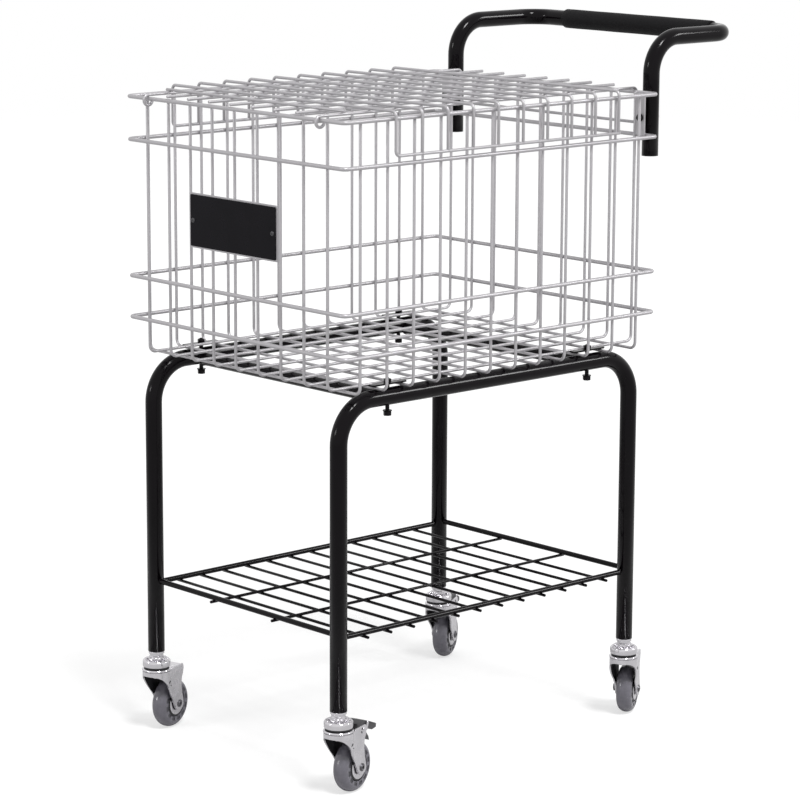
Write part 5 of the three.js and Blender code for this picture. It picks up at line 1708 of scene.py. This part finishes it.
def build_camera():
    """The camera where the photograph was taken from."""
    lens = bpy.data.cameras.new("photo_camera")
    lens.lens = CAMERA_LENS
    lens.sensor_width = CAMERA_SENSOR
    lens.clip_end = CAMERA_REACH
    camera = bpy.data.objects.new("photo_camera", lens)
    bpy.context.scene.collection.objects.link(camera)
    turn = (
        Matrix.Rotation(math.radians(CAMERA_AZIMUTH), 4, "Z")
        @ Matrix.Rotation(math.radians(90 + CAMERA_PITCH), 4, "X")
        @ Matrix.Rotation(math.radians(CAMERA_ROLL), 4, "Z")
    )
    camera.matrix_world = Matrix.Translation(CAMERA_PLACE) @ turn
    bpy.context.scene.camera = camera


# Operators


class CartOperator:
    """What the cart's operators share."""

    bl_options = {"REGISTER", "UNDO"}

    def build(self, context):
        raise NotImplementedError

    def execute(self, context):
        before = len(bpy.data.objects)
        self.build(context)
        if len(bpy.data.objects) == before:
            raise RuntimeError(f"{self.bl_label}: nothing was built")
        return {"FINISHED"}


class CART_OT_basket(CartOperator, bpy.types.Operator):
    """Bends and welds the wire basket"""

    bl_idname = "cart.basket"
    bl_label = "Basket"

    def build(self, context):
        build_basket(context.scene.cart_sizes)


class CART_OT_lid(CartOperator, bpy.types.Operator):
    """Bends and welds the hinged wire lid"""

    bl_idname = "cart.lid"
    bl_label = "Lid"

    def build(self, context):
        build_lid(context.scene.cart_sizes)


class CART_OT_name_plate(CartOperator, bpy.types.Operator):
    """Adds the bare name plate, its backing and screws"""

    bl_idname = "cart.name_plate"
    bl_label = "Name plate"

    def build(self, context):
        build_name_plate()


class CART_OT_handle(CartOperator, bpy.types.Operator):
    """Adds the bent handle, its lugs, bolts and foam sleeve"""

    bl_idname = "cart.handle"
    bl_label = "Handle"

    def build(self, context):
        build_handle(context.scene.cart_sizes)
        build_grip(context.scene.cart_sizes)


class CART_OT_frame(CartOperator, bpy.types.Operator):
    """Adds the leg frames, cross tubes and clamps"""

    bl_idname = "cart.frame"
    bl_label = "Legs"

    def build(self, context):
        build_legs(context.scene.cart_sizes)
        build_clamps()


class CART_OT_shelf(CartOperator, bpy.types.Operator):
    """Adds the welded rod shelf"""

    bl_idname = "cart.shelf"
    bl_label = "Shelf"

    def build(self, context):
        build_shelf(context.scene.cart_sizes)


class CART_OT_casters(CartOperator, bpy.types.Operator):
    """Adds the four swivel casters and the two brakes"""

    bl_idname = "cart.casters"
    bl_label = "Casters"

    def build(self, context):
        for name, x_side, y_side, swivel, braked in CASTERS:
            placement = caster_placement(x_side, y_side, swivel)
            build_stem(name, placement)
            build_fork(name, braked, f"swivel_{name}", placement)
            build_wheel(name, f"wheel_{name}", placement)
            build_axle(name, f"swivel_{name}", placement)
            if braked:
                build_brake(name, f"brake_{name}", placement)


class CART_OT_stage(CartOperator, bpy.types.Operator):
    """Adds the pale floor, soft light and the camera of the photograph"""

    bl_idname = "cart.stage"
    bl_label = "Stage"

    def build(self, context):
        build_floor()
        build_world()
        build_lamps()
        build_camera()
        context.scene.view_settings.view_transform = "Standard"


class CART_PT_panel(bpy.types.Panel):
    """Sizes, colours and building steps of the ball cart"""

    bl_label = "Ball cart"
    bl_idname = "CART_PT_panel"
    bl_space_type = "VIEW_3D"
    bl_region_type = "UI"
    bl_category = "Ball cart"

    def draw(self, context):
        for group in (context.scene.cart_sizes, context.scene.cart_colours):
            box = self.layout.box()
            for name in group.__annotations__:
                box.prop(group, name)
        for operator in OPERATORS:
            self.layout.operator(operator.bl_idname)


OPERATORS = (
    CART_OT_basket,
    CART_OT_lid,
    CART_OT_name_plate,
    CART_OT_handle,
    CART_OT_frame,
    CART_OT_shelf,
    CART_OT_casters,
    CART_OT_stage,
)
CLASSES = (CartSizes, CartColours, *OPERATORS, CART_PT_panel)


def register():
    """Registers the classes and gives each scene its sizes and colours."""
    for each in CLASSES:
        bpy.utils.register_class(each)
    bpy.types.Scene.cart_sizes = bpy.props.PointerProperty(type=CartSizes)
    bpy.types.Scene.cart_colours = bpy.props.PointerProperty(type=CartColours)


def unregister():
    """Takes back what register did."""
    del bpy.types.Scene.cart_colours
    del bpy.types.Scene.cart_sizes
    for each in reversed(CLASSES):
        bpy.utils.unregister_class(each)


def main():
    """Builds the cart and its stage."""
    register()
    bpy.ops.cart.basket()
    bpy.ops.cart.lid()
    bpy.ops.cart.name_plate()
    bpy.ops.cart.handle()
    bpy.ops.cart.frame()
    bpy.ops.cart.shelf()
    bpy.ops.cart.casters()
    bpy.ops.cart.stage()


if __name__ == "__main__":
    main()
